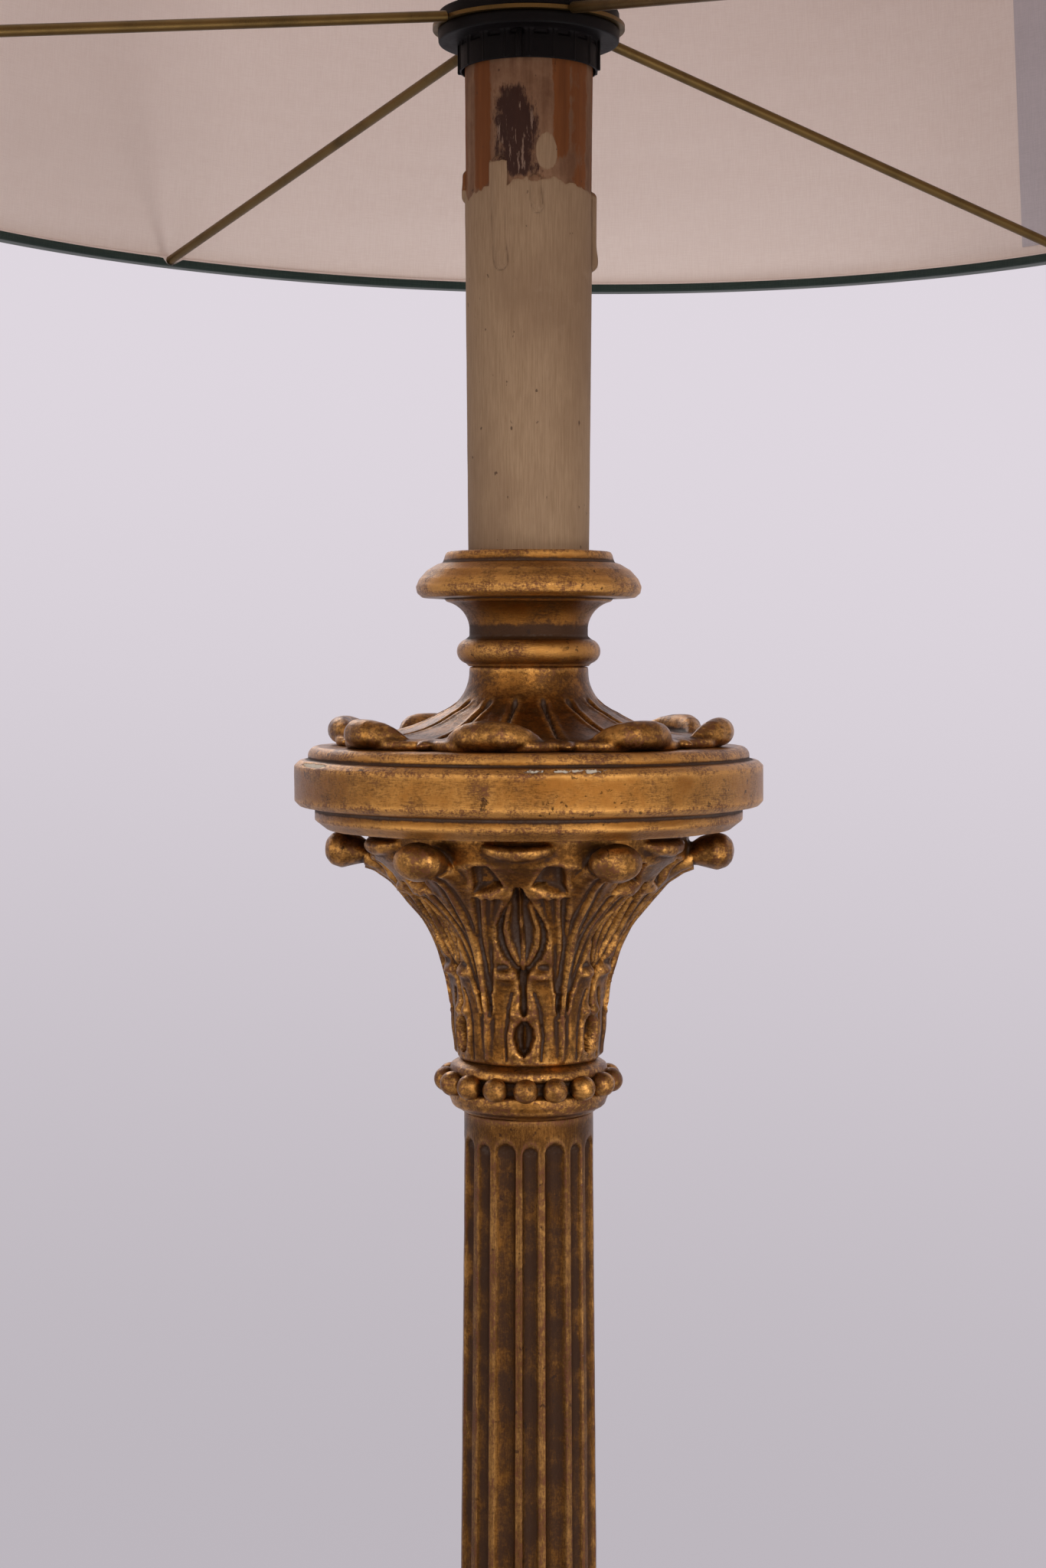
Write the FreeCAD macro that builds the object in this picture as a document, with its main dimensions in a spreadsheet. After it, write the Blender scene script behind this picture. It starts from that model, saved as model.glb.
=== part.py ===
"""Candlestick floor lamp: a carved giltwood standard on a threaded rod, a candle sleeve and a cone shade.

Millimetres. The origin is the middle of the footprint on the floor, +Z is up and -Y is the front.
Every turned section is drawn from its own seat and stacked on the one below it.
"""

import FreeCAD, Part

import math
import os
import re

import Sketcher

Vector = FreeCAD.Vector
PARTS_FOLDER = "parts"

SIZES = [
    # feet, plinth and what is hidden in it
    ("PadThick", 2.0), ("PadRadius", 15.0),
    ("FootHeight", 30.0), ("FootRadius", 24.0), ("FootNeckRadius", 12.0), ("FootCircle", 126.0),
    ("FootCount", 4), ("FootTurn", 45.0),
    ("DowelRadius", 4.0), ("DowelInFoot", 14.0), ("DowelInPlinth", 16.0), ("DowelClear", 0.05),
    ("PlinthHeight", 52.0), ("PlinthRadius", 149.0), ("PlinthTorus", 16.0), ("PlinthBand", 143.0),
    ("BallastRadius", 100.0), ("BallastThick", 20.0), ("RecessDepth", 34.0), ("RecessClear", 0.5),
    ("CoverRadius", 109.7), ("CoverThick", 1.5), ("CoverClear", 0.3),
    ("CoverScrewCount", 4), ("CoverScrewCircle", 105.0), ("CoverScrewRadius", 1.9),
    ("CoverScrewLength", 12.0), ("CoverScrewHead", 3.4), ("CoverScrewClear", 0.1),
    ("GlandLevel", 7.0), ("GlandRadius", 5.0), ("GlandBore", 3.75), ("GlandFlange", 8.0),
    ("GlandFlangeThick", 2.5), ("GlandSeat", 149.0), ("GlandLength", 20.0), ("GlandClear", 0.1),
    ("StepHeight", 36.0), ("StepRadius", 132.0), ("StepTopRadius", 100.0), ("StepRim", 6.0),
    # turned sections of the standard
    ("TrumpetHeight", 177.0), ("TrumpetRadius", 90.0), ("TrumpetNeck", 26.0), ("TrumpetBead", 12.0),
    ("KnopHeight", 20.0), ("KnopRadius", 32.0), ("KnopBeads", 19),
    ("VaseHeight", 100.0), ("VaseRadius", 46.0), ("VaseFoot", 25.0), ("VaseNeck", 28.0),
    ("LowerCollarHeight", 18.0), ("LowerCollarRadius", 35.0), ("LowerCollarBeads", 21),
    ("ColumnLength", 660.0), ("ColumnLowRadius", 26.5), ("ColumnTopRadius", 20.5), ("ColumnTurn", 1.5),
    ("ColumnBaseRadius", 31.0), ("ColumnBaseHeight", 26.0),
    ("FluteCount", 8), ("FluteFoot", 40.0), ("FluteHead", 11.0),
    ("WideFluteRadius", 3.75), ("WideFluteDepth", 2.4),
    ("NarrowFluteRadius", 2.7), ("NarrowFluteDepth", 1.9),
    ("CollarHeight", 17.0), ("CollarRadius", 26.2), ("CollarBeads", 17), ("CollarTurn", -92.5),
    ("BeadRadius", 4.0), ("BeadGap", 0.25),
    ("CapitalHeight", 73.0), ("CapitalNeck", 22.3), ("CapitalRim", 46.0), ("CapitalTop", 52.0),
    ("CapitalTurn", 56.0), ("CapitalLeaves", 6), ("LeafAngle", 34.0), ("LeafThick", 2.6),
    ("LeafTipReach", 59.5), ("LeafTipLevel", 66.5), ("LeafTipRadius", 5.5), ("LeafTipWidth", 7.6),
    ("PetalReach", 53.0), ("PetalRadius", 4.2), ("PetalWidth", 6.5), ("PetalLength", 8.0),
    ("PanHeight", 26.0), ("PanRadius", 74.0), ("PanStepRadius", 67.6), ("PanTopRadius", 69.5),
    ("PanBandFoot", 7.5), ("PanBandHeight", 14.0),
    ("SpreadHeight", 25.0), ("SpreadRadius", 62.0), ("SpreadNeck", 18.9), ("SpreadLeaves", 8),
    ("SpreadTurn", 34.0), ("SpreadTipReach", 58.0), ("SpreadTipLevel", 5.6), ("SpreadTipRadius", 3.9),
    ("SpreadTipWidth", 10.0), ("SpreadTipLength", 7.0),
    ("CupHeight", 36.0), ("CupNeck", 18.7), ("CupTorusRadius", 35.5), ("CupLipRadius", 26.2),
    ("CupBead", 7.6), ("CandleSocketDepth", 10.0), ("CandleClear", 0.3),
    # wood joints, rod and its fastenings
    ("SpigotRadius", 12.0), ("SpigotHeight", 6.0), ("SpigotClear", 0.2),
    ("RodRadius", 5.0), ("RodBore", 3.6), ("RodHole", 5.5), ("ThreadClear", 0.05), ("RodFoot", 3.0),
    ("NutAcross", 17.0), ("NutHeight", 8.0), ("WasherRadius", 13.0), ("WasherThick", 2.0),
    # candle sleeve and lampholder
    ("SleeveLength", 161.0), ("SleeveLowRadius", 18.6), ("SleeveTopRadius", 20.15), ("SleeveBore", 16.9),
    ("BushThick", 5.0), ("BushLow", 14.0), ("BushHigh", 105.0),
    ("CapRadius", 16.6), ("CapWall", 1.0), ("CapDrop", 31.0), ("CapNeckRadius", 8.0), ("CapNeckDrop", 7.0),
    ("CapFloor", 2.5), ("CapRise", 5.0), ("GrubRadius", 1.5), ("GrubLength", 4.6),
    ("HolderRadius", 19.4), ("HolderHeight", 38.0), ("HolderWall", 2.2), ("HolderSkirt", 6.0),
    ("InsertRadius", 15.5), ("InsertDrop", 23.5), ("InsertRise", 4.0),
    ("TerminalRadius", 1.6), ("TerminalHead", 3.0), ("TerminalReach", 9.0), ("TerminalDepth", 9.0),
    ("ContactBore", 13.3), ("ContactWall", 0.7), ("ContactHeight", 27.0),
    ("ButtonRadius", 4.0), ("ButtonHeight", 4.0),
    # shade rings and carrier
    ("CarrierLevel", 11.3), ("CarrierThick", 1.2), ("CarrierRadius", 30.0), ("CarrierClear", 0.5),
    ("RingFlangeRadius", 28.5), ("RingFlangeThick", 3.9), ("RingSkirtRadius", 21.7),
    ("RingSkirtHeight", 8.9), ("RingSkirtBore", 20.7), ("RingThreadRise", 3.4), ("RingClear", 0.05),
    ("RingPlay", 0.1), ("RingRibs", 18), ("RingRibDepth", 0.5), ("RingRibRadius", 0.8),
    ("ArmRadius", 1.7), ("ArmGap", 0.25), ("ArmNotch", 0.7),
    ("FirstArm", 35.8), ("SecondArm", 124.7), ("ThirdArm", 212.0), ("FourthArm", 296.6),
    # shade
    ("RimDrop", 41.3), ("ShadeHeight", 300.0), ("ShadeRadius", 250.0), ("ShadeTopRadius", 219.5),
    ("ShadeLean", 1.62), ("LeanTurn", 45.0), ("CoverCloth", 0.7), ("LiningGap", 0.1), ("LiningThick", 0.5),
    ("RimWire", 1.5), ("RimLift", 1.6), ("WireClear", 0.25),
    ("BindingThick", 0.6), ("BindingHeight", 3.4), ("BindingGap", 0.06),
    ("SeamWidth", 16.0), ("SeamThick", 0.4), ("SeamGap", 0.3), ("SeamTurn", 39.5),
    # bulb
    ("BulbCapRadius", 13.2), ("BulbCapHeight", 24.0), ("BulbCapWall", 0.5), ("BulbTipRise", 2.6),
    ("BulbTipRadius", 4.8), ("BulbGlassRadius", 30.0), ("BulbLength", 105.0), ("BulbWall", 0.8),
    ("BulbCrown", 2.0),
]

doc = FreeCAD.newDocument("candlestick_floor_lamp")
sheet = doc.addObject("Spreadsheet::Sheet", "Sizes")
for row, (alias, size) in enumerate(SIZES, start=1):
    sheet.set("A%d" % row, alias)
    sheet.set("B%d" % row, str(size))
    sheet.setAlias("B%d" % row, alias)
doc.recompute()

SUB_PARTS = []
ARM_TURNS = ("FirstArm", "SecondArm", "ThirdArm", "FourthArm")


# ---------------------------------------------------------------- reading the sheet and drawing outlines


def bound(text):
    """The expression with every size name read from the sheet."""
    return re.sub(r"\b([A-Z]\w+)", r"Sizes.\1", str(text))


def value(text):
    """What an expression comes to at the sheet's present sizes."""
    return float(sheet.evalExpression(bound(text)))


def origin_feature(body, role):
    """A body's own origin plane or axis."""
    return next(item for item in body.Origin.OriginFeatures if item.Role == role)


def place(part, seat="0", turn="0", x="0", y="0"):
    """Stand a sub-part on its seat, turned about the lamp's axis."""
    part.Placement = FreeCAD.Placement(Vector(), FreeCAD.Rotation(Vector(0, 0, 1), 1.0))
    part.setExpression("Placement.Base.x", bound(x))
    part.setExpression("Placement.Base.y", bound(y))
    part.setExpression("Placement.Base.z", bound(seat))
    part.setExpression("Placement.Rotation.Angle", bound(turn))


def lay(part, axis, angle):
    """Lay a standing part over about another axis, where it is."""
    part.Placement = FreeCAD.Placement(Vector(), FreeCAD.Rotation(Vector(*axis), angle))
    part.setExpression("Placement.Rotation.Angle", str(angle))


def keep(part, label):
    """Name a sub-part and put it on the list of what is written."""
    part.Label = label
    SUB_PARTS.append(part)
    return part


def new_body(label, seat="0", turn="0"):
    body = doc.addObject("PartDesign::Body", label)
    keep(body, label)
    place(body, seat, turn)
    return body


def arc_through(start, end, roundness):
    """The arc from start to end whose radius is roundness times its chord.

    A positive roundness keeps the arc's centre on the left of the chord, a negative one on the right.
    """
    chord = end - start
    radius = abs(roundness) * chord.Length
    side = 1 if roundness > 0 else -1
    normal = Vector(-chord.y, chord.x, 0).normalize()
    centre = (start + end) * 0.5 + normal * (side * math.sqrt(max(radius**2 - chord.Length**2 / 4, 0)))
    return Part.Arc(start, centre - normal * (side * radius), end)


def draw_outline(body, name, outline):
    """A closed sketch on the XZ plane, with every corner bound to the sheet.

    Each corner is (radius, height) or (radius, height, roundness of the edge that leaves it).
    """
    sketch = body.newObject("Sketcher::SketchObject", name)
    sketch.AttachmentSupport = [(origin_feature(body, "XZ_Plane"), "")]
    sketch.MapMode = "FlatFace"
    corners = [(corner + (0,))[:3] for corner in outline]
    points = [Vector(value(radius), value(height), 0) for radius, height, _ in corners]
    ends = []
    for index, (_, _, roundness) in enumerate(corners):
        start, end = points[index], points[(index + 1) % len(points)]
        if roundness:
            sketch.addGeometry(arc_through(start, end, roundness))
        else:
            sketch.addGeometry(Part.LineSegment(start, end))
        ends.append((1, 2) if roundness >= 0 else (2, 1))
    for index in range(len(corners)):
        following = (index + 1) % len(corners)
        sketch.addConstraint(
            Sketcher.Constraint("Coincident", index, ends[index][1], following, ends[following][0])
        )
    for index, (radius, height, roundness) in enumerate(corners):
        vertex = (index, ends[index][0])
        if str(radius) == "0":
            sketch.addConstraint(Sketcher.Constraint("PointOnObject", *vertex, -2))
        else:
            bind(sketch, Sketcher.Constraint("DistanceX", -1, 1, *vertex, value(radius)), radius)
        if str(height) == "0":
            sketch.addConstraint(Sketcher.Constraint("PointOnObject", *vertex, -1))
        else:
            bind(sketch, Sketcher.Constraint("DistanceY", -1, 1, *vertex, value(height)), height)
        if roundness:
            end_radius, end_height, _ = corners[(index + 1) % len(corners)]
            length = "%g * sqrt(pow(%s - (%s); 2) + pow(%s - (%s); 2))" % (
                abs(roundness), end_radius, radius, end_height, height)
            bind(sketch, Sketcher.Constraint("Radius", index, value(length)), length)
    return sketch


def bind(sketch, constraint, expression):
    """Add a dimension to a sketch and read it from the sheet."""
    index = sketch.addConstraint(constraint)
    sketch.setExpression("Constraints[%d]" % index, bound(expression))


def turned(label, outline, seat="0", turn="0"):
    """A piece turned on a lathe: the outline spun about the lamp's axis."""
    body = new_body(label, seat, turn)
    spin(body, label, outline)
    return body


def spin(body, label, outline, sweep=360.0, start="0"):
    """Add a spun solid to a body, all the way round or over an angle to both sides of its start."""
    sketch = draw_outline(body, label + "_outline", outline)
    sketch.AttachmentOffset = FreeCAD.Placement(Vector(), FreeCAD.Rotation(Vector(0, 1, 0), 1.0))
    sketch.setExpression("AttachmentOffset.Rotation.Angle", bound(start))
    solid = body.newObject("PartDesign::Revolution", label + "_turning")
    solid.Profile = sketch
    solid.ReferenceAxis = (sketch, ["V_Axis"])
    if sweep == 360.0:
        solid.Angle = 360.0
    else:
        solid.Midplane = True
        solid.setExpression("Angle", bound(sweep))
    return solid


def add_shape(body, kind, name, sizes, x="0", y="0", z="0", axis=(0, 0, 1), tilt="0"):
    """Add or take away a primitive, placed in the body's own frame."""
    shape = body.newObject("PartDesign::" + kind, name)
    shape.AttachmentSupport = [(origin_feature(body, "XY_Plane"), "")]
    shape.MapMode = "FlatFace"
    shape.AttachmentOffset = FreeCAD.Placement(Vector(), FreeCAD.Rotation(Vector(*axis), 1.0))
    for key, expression in sizes.items():
        shape.setExpression(key, bound(expression))
    shape.setExpression("AttachmentOffset.Base.x", bound(x))
    shape.setExpression("AttachmentOffset.Base.y", bound(y))
    shape.setExpression("AttachmentOffset.Base.z", bound(z))
    shape.setExpression("AttachmentOffset.Rotation.Angle", bound(tilt))
    return shape


def repeat_round(body, name, feature, count):
    """Repeat a feature evenly about the body's Z axis."""
    pattern = body.newObject("PartDesign::PolarPattern", name)
    pattern.Originals = [feature]
    pattern.Axis = (origin_feature(body, "Z_Axis"), [""])
    pattern.Angle = 360.0
    pattern.setExpression("Occurrences", bound(count))
    body.Tip = pattern
    return pattern


def section(label, side, height, seat, turn="0", socket=True, spigot=True):
    """A turned section of the standard, bored for the rod.

    The side runs from the bottom to the top. The foot has a socket and the top a spigot, so that
    each section centres on the next.
    """
    socket_radius = "SpigotRadius + SpigotClear"
    socket_depth = "SpigotHeight + SpigotClear"
    foot = [("RodHole", "0")]
    if socket:
        foot = [("RodHole", socket_depth), (socket_radius, socket_depth), (socket_radius, "0")]
    top = [("RodHole", height)]
    if spigot:
        rise = height + " + SpigotHeight"
        top = [("SpigotRadius", height), ("SpigotRadius", rise), ("RodHole", rise)]
    return turned(label, foot + side + top, seat, turn)


def cylinder(name, radius, height, x="0", y="0", z="0"):
    """A plain Part cylinder with bound sizes and place."""
    solid = doc.addObject("Part::Cylinder", name)
    solid.setExpression("Radius", bound(radius))
    solid.setExpression("Height", bound(height))
    place(solid, z, "0", x, y)
    return solid


def join(label, solids):
    """One node made of several separate solids."""
    group = doc.addObject("Part::Compound", label)
    group.Links = solids
    return keep(group, label)


def round_places(circle, count, first="0"):
    """The X and Y expressions of evenly spaced places on a circle about the lamp's axis."""
    steps = int(value(count))
    return [
        (
            "(%s) * cos((%s + %d * 360 / %s) * 1 deg)" % (circle, first, step, count),
            "(%s) * sin((%s + %d * 360 / %s) * 1 deg)" % (circle, first, step, count),
        )
        for step in range(steps)
    ]


# ---------------------------------------------------------------- levels of the stack, from the floor up

foot_seat = "PadThick"
plinth_seat = foot_seat + " + FootHeight"
step_seat = plinth_seat + " + PlinthHeight"
trumpet_seat = step_seat + " + StepHeight"
knop_seat = trumpet_seat + " + TrumpetHeight"
vase_seat = knop_seat + " + KnopHeight"
lower_collar_seat = vase_seat + " + VaseHeight"
column_seat = lower_collar_seat + " + LowerCollarHeight"
collar_seat = column_seat + " + ColumnLength"
capital_seat = collar_seat + " + CollarHeight"
pan_seat = capital_seat + " + CapitalHeight"
spread_seat = pan_seat + " + PanHeight"
cup_seat = spread_seat + " + SpreadHeight"
sleeve_seat = cup_seat + " + CupHeight - CandleSocketDepth"
holder_seat = sleeve_seat + " + SleeveLength"
carrier_seat = holder_seat + " + CarrierLevel"
rim_level = carrier_seat + " - RimDrop"
shade_slope = "(ShadeRadius - ShadeTopRadius) / ShadeHeight"
lining_face = "(CoverCloth + LiningGap + LiningThick)"

# ---------------------------------------------------------------- feet, plinth and what it holds


def foot_parts():
    """Felt pads, turned bun feet and the dowels that hold them to the plinth."""
    places = round_places("FootCircle", "FootCount", "FootTurn")
    pads, feet, dowels = [], [], []
    for number, (x, y) in enumerate(places):
        pads.append(cylinder("pad_%d" % number, "PadRadius", "PadThick", x, y))
        dowels.append(cylinder(
            "dowel_%d" % number, "DowelRadius", "DowelInFoot + DowelInPlinth", x, y,
            plinth_seat + " - DowelInFoot"))
        hole = ("DowelRadius + DowelClear", "FootHeight - DowelInFoot - 0.5")
        outline = [
            ("0", "0"), ("PadRadius + 1", "0", 0.6), ("FootRadius", "FootHeight * 0.42", 0.65),
            ("FootNeckRadius + 1", "FootHeight - 7"), ("FootNeckRadius", "FootHeight - 6"),
            ("FootNeckRadius", "FootHeight"), (hole[0], "FootHeight"), hole, ("0", hole[1]),
        ]
        foot = doc.addObject("PartDesign::Body", "foot_%d" % number)
        spin(foot, "foot_%d" % number, outline)
        place(foot, foot_seat, "0", x, y)
        feet.append(foot)
    join("felt_pads", pads)
    join("bun_feet", feet)
    join("foot_dowels", dowels)


def plinth():
    """The wide moulded plinth, hollowed below for the ballast and bored for feet, screws and gland."""
    rebate = "CoverRadius + CoverClear"
    recess = "BallastRadius + RecessClear"
    side = [
        ("RodHole", "RecessDepth"), (recess, "RecessDepth"), (recess, "CoverThick"),
        (rebate, "CoverThick"), (rebate, "0"), ("PlinthRadius - 2", "0"), ("PlinthRadius", "1", 0.51),
        ("PlinthRadius", "PlinthTorus"), ("PlinthBand + 4", "PlinthTorus"),
        ("PlinthBand + 4", "PlinthTorus + 3"), ("PlinthBand", "PlinthTorus + 4"),
        ("PlinthBand", "PlinthHeight - 13"), ("PlinthBand + 4", "PlinthHeight - 12"),
        ("PlinthBand + 4", "PlinthHeight - 9", 0.75), ("PlinthBand - 6", "PlinthHeight - 1"),
        ("PlinthBand - 6", "PlinthHeight"), ("SpigotRadius", "PlinthHeight"),
        ("SpigotRadius", "PlinthHeight + SpigotHeight"), ("RodHole", "PlinthHeight + SpigotHeight"),
    ]
    body = turned("plinth", side, plinth_seat)
    first = round_places("FootCircle", "1", "FootTurn")[0]
    socket = add_shape(
        body, "SubtractiveCylinder", "dowel_socket",
        {"Radius": "DowelRadius + DowelClear", "Height": "DowelInPlinth + 0.5"}, *first)
    repeat_round(body, "dowel_sockets", socket, "FootCount")
    pilot = add_shape(
        body, "SubtractiveCylinder", "screw_pilot",
        {"Radius": "CoverScrewRadius + CoverScrewClear", "Height": "CoverScrewLength + 1"},
        "CoverScrewCircle")
    repeat_round(body, "screw_pilots", pilot, "CoverScrewCount")
    add_shape(
        body, "SubtractiveCylinder", "lead_channel",
        {"Radius": "GlandRadius + GlandClear", "Height": "PlinthRadius"},
        y="BallastRadius - 10", z="GlandLevel", axis=(1, 0, 0), tilt="-90")
    seat = add_shape(
        body, "SubtractiveCylinder", "gland_spot_face",
        {"Radius": "GlandFlange + GlandClear", "Height": "20"},
        y="GlandSeat", z="GlandLevel", axis=(1, 0, 0), tilt="-90")
    body.Tip = seat


def plinth_step():
    """The scotia step between the plinth and the foot of the stem."""
    side = [
        ("StepRadius", "0"), ("StepRadius", "StepRim"), ("StepRadius - 4", "StepRim", -0.72),
        ("StepTopRadius", "StepHeight - 9"), ("StepTopRadius + 3", "StepHeight - 8", 0.52),
        ("StepTopRadius + 3", "StepHeight"),
    ]
    section("plinth_step", side, "StepHeight", step_seat)


def ballast():
    """The cast-iron weight that keeps the tall lamp upright."""
    outline = [
        ("RodHole", "RecessDepth - BallastThick"), ("BallastRadius - 3", "RecessDepth - BallastThick"),
        ("BallastRadius", "RecessDepth - BallastThick + 3"), ("BallastRadius", "RecessDepth"),
        ("RodHole", "RecessDepth"),
    ]
    turned("ballast_weight", outline, plinth_seat)


def base_cover():
    """The steel plate that closes the recess, and its four wood screws."""
    body = turned("base_cover", [
        ("0", "0"), ("CoverRadius", "0"), ("CoverRadius", "CoverThick"), ("0", "CoverThick"),
    ], plinth_seat)
    hole = add_shape(
        body, "SubtractiveCylinder", "screw_hole",
        {"Radius": "CoverScrewRadius + CoverScrewClear", "Height": "CoverThick"}, "CoverScrewCircle")
    repeat_round(body, "screw_holes", hole, "CoverScrewCount")
    screws = []
    for number, (x, y) in enumerate(round_places("CoverScrewCircle", "CoverScrewCount")):
        shank = cylinder(
            "screw_shank_%d" % number, "CoverScrewRadius", "CoverScrewLength", x, y, plinth_seat)
        head = cylinder("screw_head_%d" % number, "CoverScrewHead", "1.6", x, y, plinth_seat + " - 1.6")
        screw = doc.addObject("Part::Fuse", "cover_screw_%d" % number)
        screw.Base = shank
        screw.Tool = head
        screws.append(screw)
    join("cover_screws", screws)


def cord_gland():
    """The flanged bush in the back of the plinth through which a mains lead enters."""
    flange = cylinder("gland_flange", "GlandFlange", "GlandFlangeThick")
    barrel = cylinder("gland_barrel", "GlandRadius", "GlandLength")
    bore = cylinder("gland_bore", "GlandBore", "GlandLength * 3", z="-GlandLength")
    place(barrel, "GlandFlangeThick - GlandLength")
    outside = doc.addObject("Part::Fuse", "gland_outside")
    outside.Base = flange
    outside.Tool = barrel
    gland = doc.addObject("Part::Cut", "cord_gland")
    gland.Base = outside
    gland.Tool = bore
    place(gland, plinth_seat + " + GlandLevel", y="GlandSeat")
    lay(gland, (1, 0, 0), -90)
    keep(gland, "cord_gland")


# ---------------------------------------------------------------- turned and carved sections


def foot_trumpet():
    """The flared foot of the stem, from a wide bead up to a slender necked ring."""
    side = [
        ("TrumpetRadius", "0", 0.52), ("TrumpetRadius", "TrumpetBead"),
        ("TrumpetRadius - 5", "TrumpetBead", -0.76), ("TrumpetNeck + 1", "TrumpetHeight - 40"),
        ("TrumpetNeck + 4", "TrumpetHeight - 35"), ("TrumpetNeck + 4", "TrumpetHeight - 32", 0.52),
        ("TrumpetNeck + 4", "TrumpetHeight - 20"), ("TrumpetNeck + 2", "TrumpetHeight - 18", -0.9),
        ("TrumpetNeck", "TrumpetHeight"),
    ]
    section("foot_trumpet", side, "TrumpetHeight", trumpet_seat)


def bead_ring(label, radius, height, beads, seat, neck, turn="0"):
    """A collar of turned fillets round which a string of beads is carved."""
    core = radius + " - 1"
    side = [
        (neck, "0"), (core + " - 2.5", "1.5", 0.7), (core + " - 0.5", "3.5"), (core, "4.5"),
        (core, "%s / 2 - 1.6 + BeadGap" % height), (core + " - 1.5", "%s / 2 + 1.5" % height),
        (core, "%s / 2 + 4.4" % height), (core + " - 0.5", "%s - 2" % height),
        (core + " - 2.5", "%s - 0.8" % height), (neck, height),
    ]
    body = section(label, side, height, seat, turn)
    bead = add_shape(
        body, "AdditiveSphere", label + "_bead", {"Radius": "BeadRadius"}, radius,
        z="%s / 2 + 1.5" % height)
    repeat_round(body, label + "_beads", bead, beads)


def vase():
    """The baluster vase under the column."""
    side = [
        ("VaseFoot", "0"), ("VaseFoot", "6"), ("VaseFoot + 1", "7", 1.1),
        ("VaseRadius", "VaseHeight * 0.46", 1.38), ("VaseNeck + 4", "VaseHeight * 0.82", -1.2),
        ("VaseNeck", "VaseHeight * 0.88"), ("VaseNeck + 4", "VaseHeight - 8"),
        ("VaseNeck + 4", "VaseHeight"),
    ]
    section("baluster_vase", side, "VaseHeight", vase_seat)


def flutes(body, name, radius, depth, turn):
    """A ring of tapering flutes with round ends, cut along the cone of the shaft."""
    growth = "(ColumnLowRadius / ColumnTopRadius)"
    out_top = "(ColumnTopRadius + %s - %s)" % (radius, depth)
    out_low = "%s * %s" % (out_top, growth)
    across = ("cos(%s * 1 deg)" % turn, "sin(%s * 1 deg)" % turn)
    square_to_flute = math.radians(value(turn) + 90)
    groove = add_shape(
        body, "SubtractiveCone", name,
        {
            "Radius1": "%s * %s" % (radius, growth), "Radius2": radius,
            "Height": "ColumnLength - FluteFoot - FluteHead",
        },
        "%s * %s" % (out_low, across[0]), "%s * %s" % (out_low, across[1]), "FluteFoot",
        axis=(math.cos(square_to_flute), math.sin(square_to_flute), 0),
        tilt="-atan((%s - %s) / (ColumnLength - FluteFoot - FluteHead))" % (out_low, out_top))
    repeat_round(body, name + "s", groove, "FluteCount")
    for end, out, scale, level in (
        ("foot", out_low, growth, "FluteFoot"), ("head", out_top, "1", "ColumnLength - FluteHead"),
    ):
        round_end = add_shape(
            body, "SubtractiveSphere", "%s_%s" % (name, end), {"Radius": "%s * %s" % (radius, scale)},
            "%s * %s" % (out, across[0]), "%s * %s" % (out, across[1]), level)
        repeat_round(body, "%s_%ss" % (name, end), round_end, "FluteCount")


def column():
    """The fluted shaft, broad and narrow flutes by turns."""
    side = [
        ("ColumnBaseRadius", "0"), ("ColumnBaseRadius", "3", 0.53), ("ColumnBaseRadius", "14"),
        ("ColumnLowRadius + 2", "15"), ("ColumnLowRadius + 2", "18", -0.8),
        ("ColumnLowRadius", "ColumnBaseHeight"), ("ColumnTopRadius", "ColumnLength"),
    ]
    body = section("column", side, "ColumnLength", column_seat, "ColumnTurn")
    flutes(body, "narrow_flute", "NarrowFluteRadius", "NarrowFluteDepth", "0")
    flutes(body, "wide_flute", "WideFluteRadius", "WideFluteDepth", "180 / FluteCount")


def capital():
    """The bell capital: six leaves that curl out into round tips, with a petal between each pair."""
    bell = [
        ("CapitalNeck", "0"), ("CapitalNeck + 0.2", "9", -1.15), ("CapitalRim", "CapitalHeight - 14", -0.8),
        ("CapitalTop - 3", "CapitalHeight - 8"), ("CapitalTop", "CapitalHeight - 5"),
        ("CapitalTop", "CapitalHeight"),
    ]
    body = section("leaf_capital", bell, "CapitalHeight", capital_seat, "CapitalTurn")
    blade = [
        ("CapitalNeck - 2", "2"), ("CapitalNeck + LeafThick * 0.5", "2"),
        ("CapitalNeck + LeafThick", "9", -1.15),
        ("CapitalRim + LeafThick", "CapitalHeight - 16", -0.9), ("LeafTipReach", "LeafTipLevel - 4"),
        ("LeafTipReach", "LeafTipLevel + 3"), ("CapitalRim", "LeafTipLevel + 3"),
        ("CapitalRim - 6", "CapitalHeight - 14", 1.15),
    ]
    leaf = spin(body, "leaf", blade, "LeafAngle")
    repeat_round(body, "leaves", leaf, "CapitalLeaves")
    tip = add_shape(
        body, "AdditiveEllipsoid", "leaf_tip",
        {"Radius1": "LeafTipRadius", "Radius2": "LeafTipRadius", "Radius3": "LeafTipWidth"},
        "LeafTipReach", z="LeafTipLevel")
    repeat_round(body, "leaf_tips", tip, "CapitalLeaves")
    between = "180 / CapitalLeaves"
    petal = add_shape(
        body, "AdditiveEllipsoid", "petal",
        {"Radius1": "PetalRadius", "Radius2": "PetalLength", "Radius3": "PetalWidth"},
        "PetalReach * cos(%s * 1 deg)" % between, "PetalReach * sin(%s * 1 deg)" % between,
        "LeafTipLevel + 1", tilt=between)
    repeat_round(body, "petals", petal, "CapitalLeaves")


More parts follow.
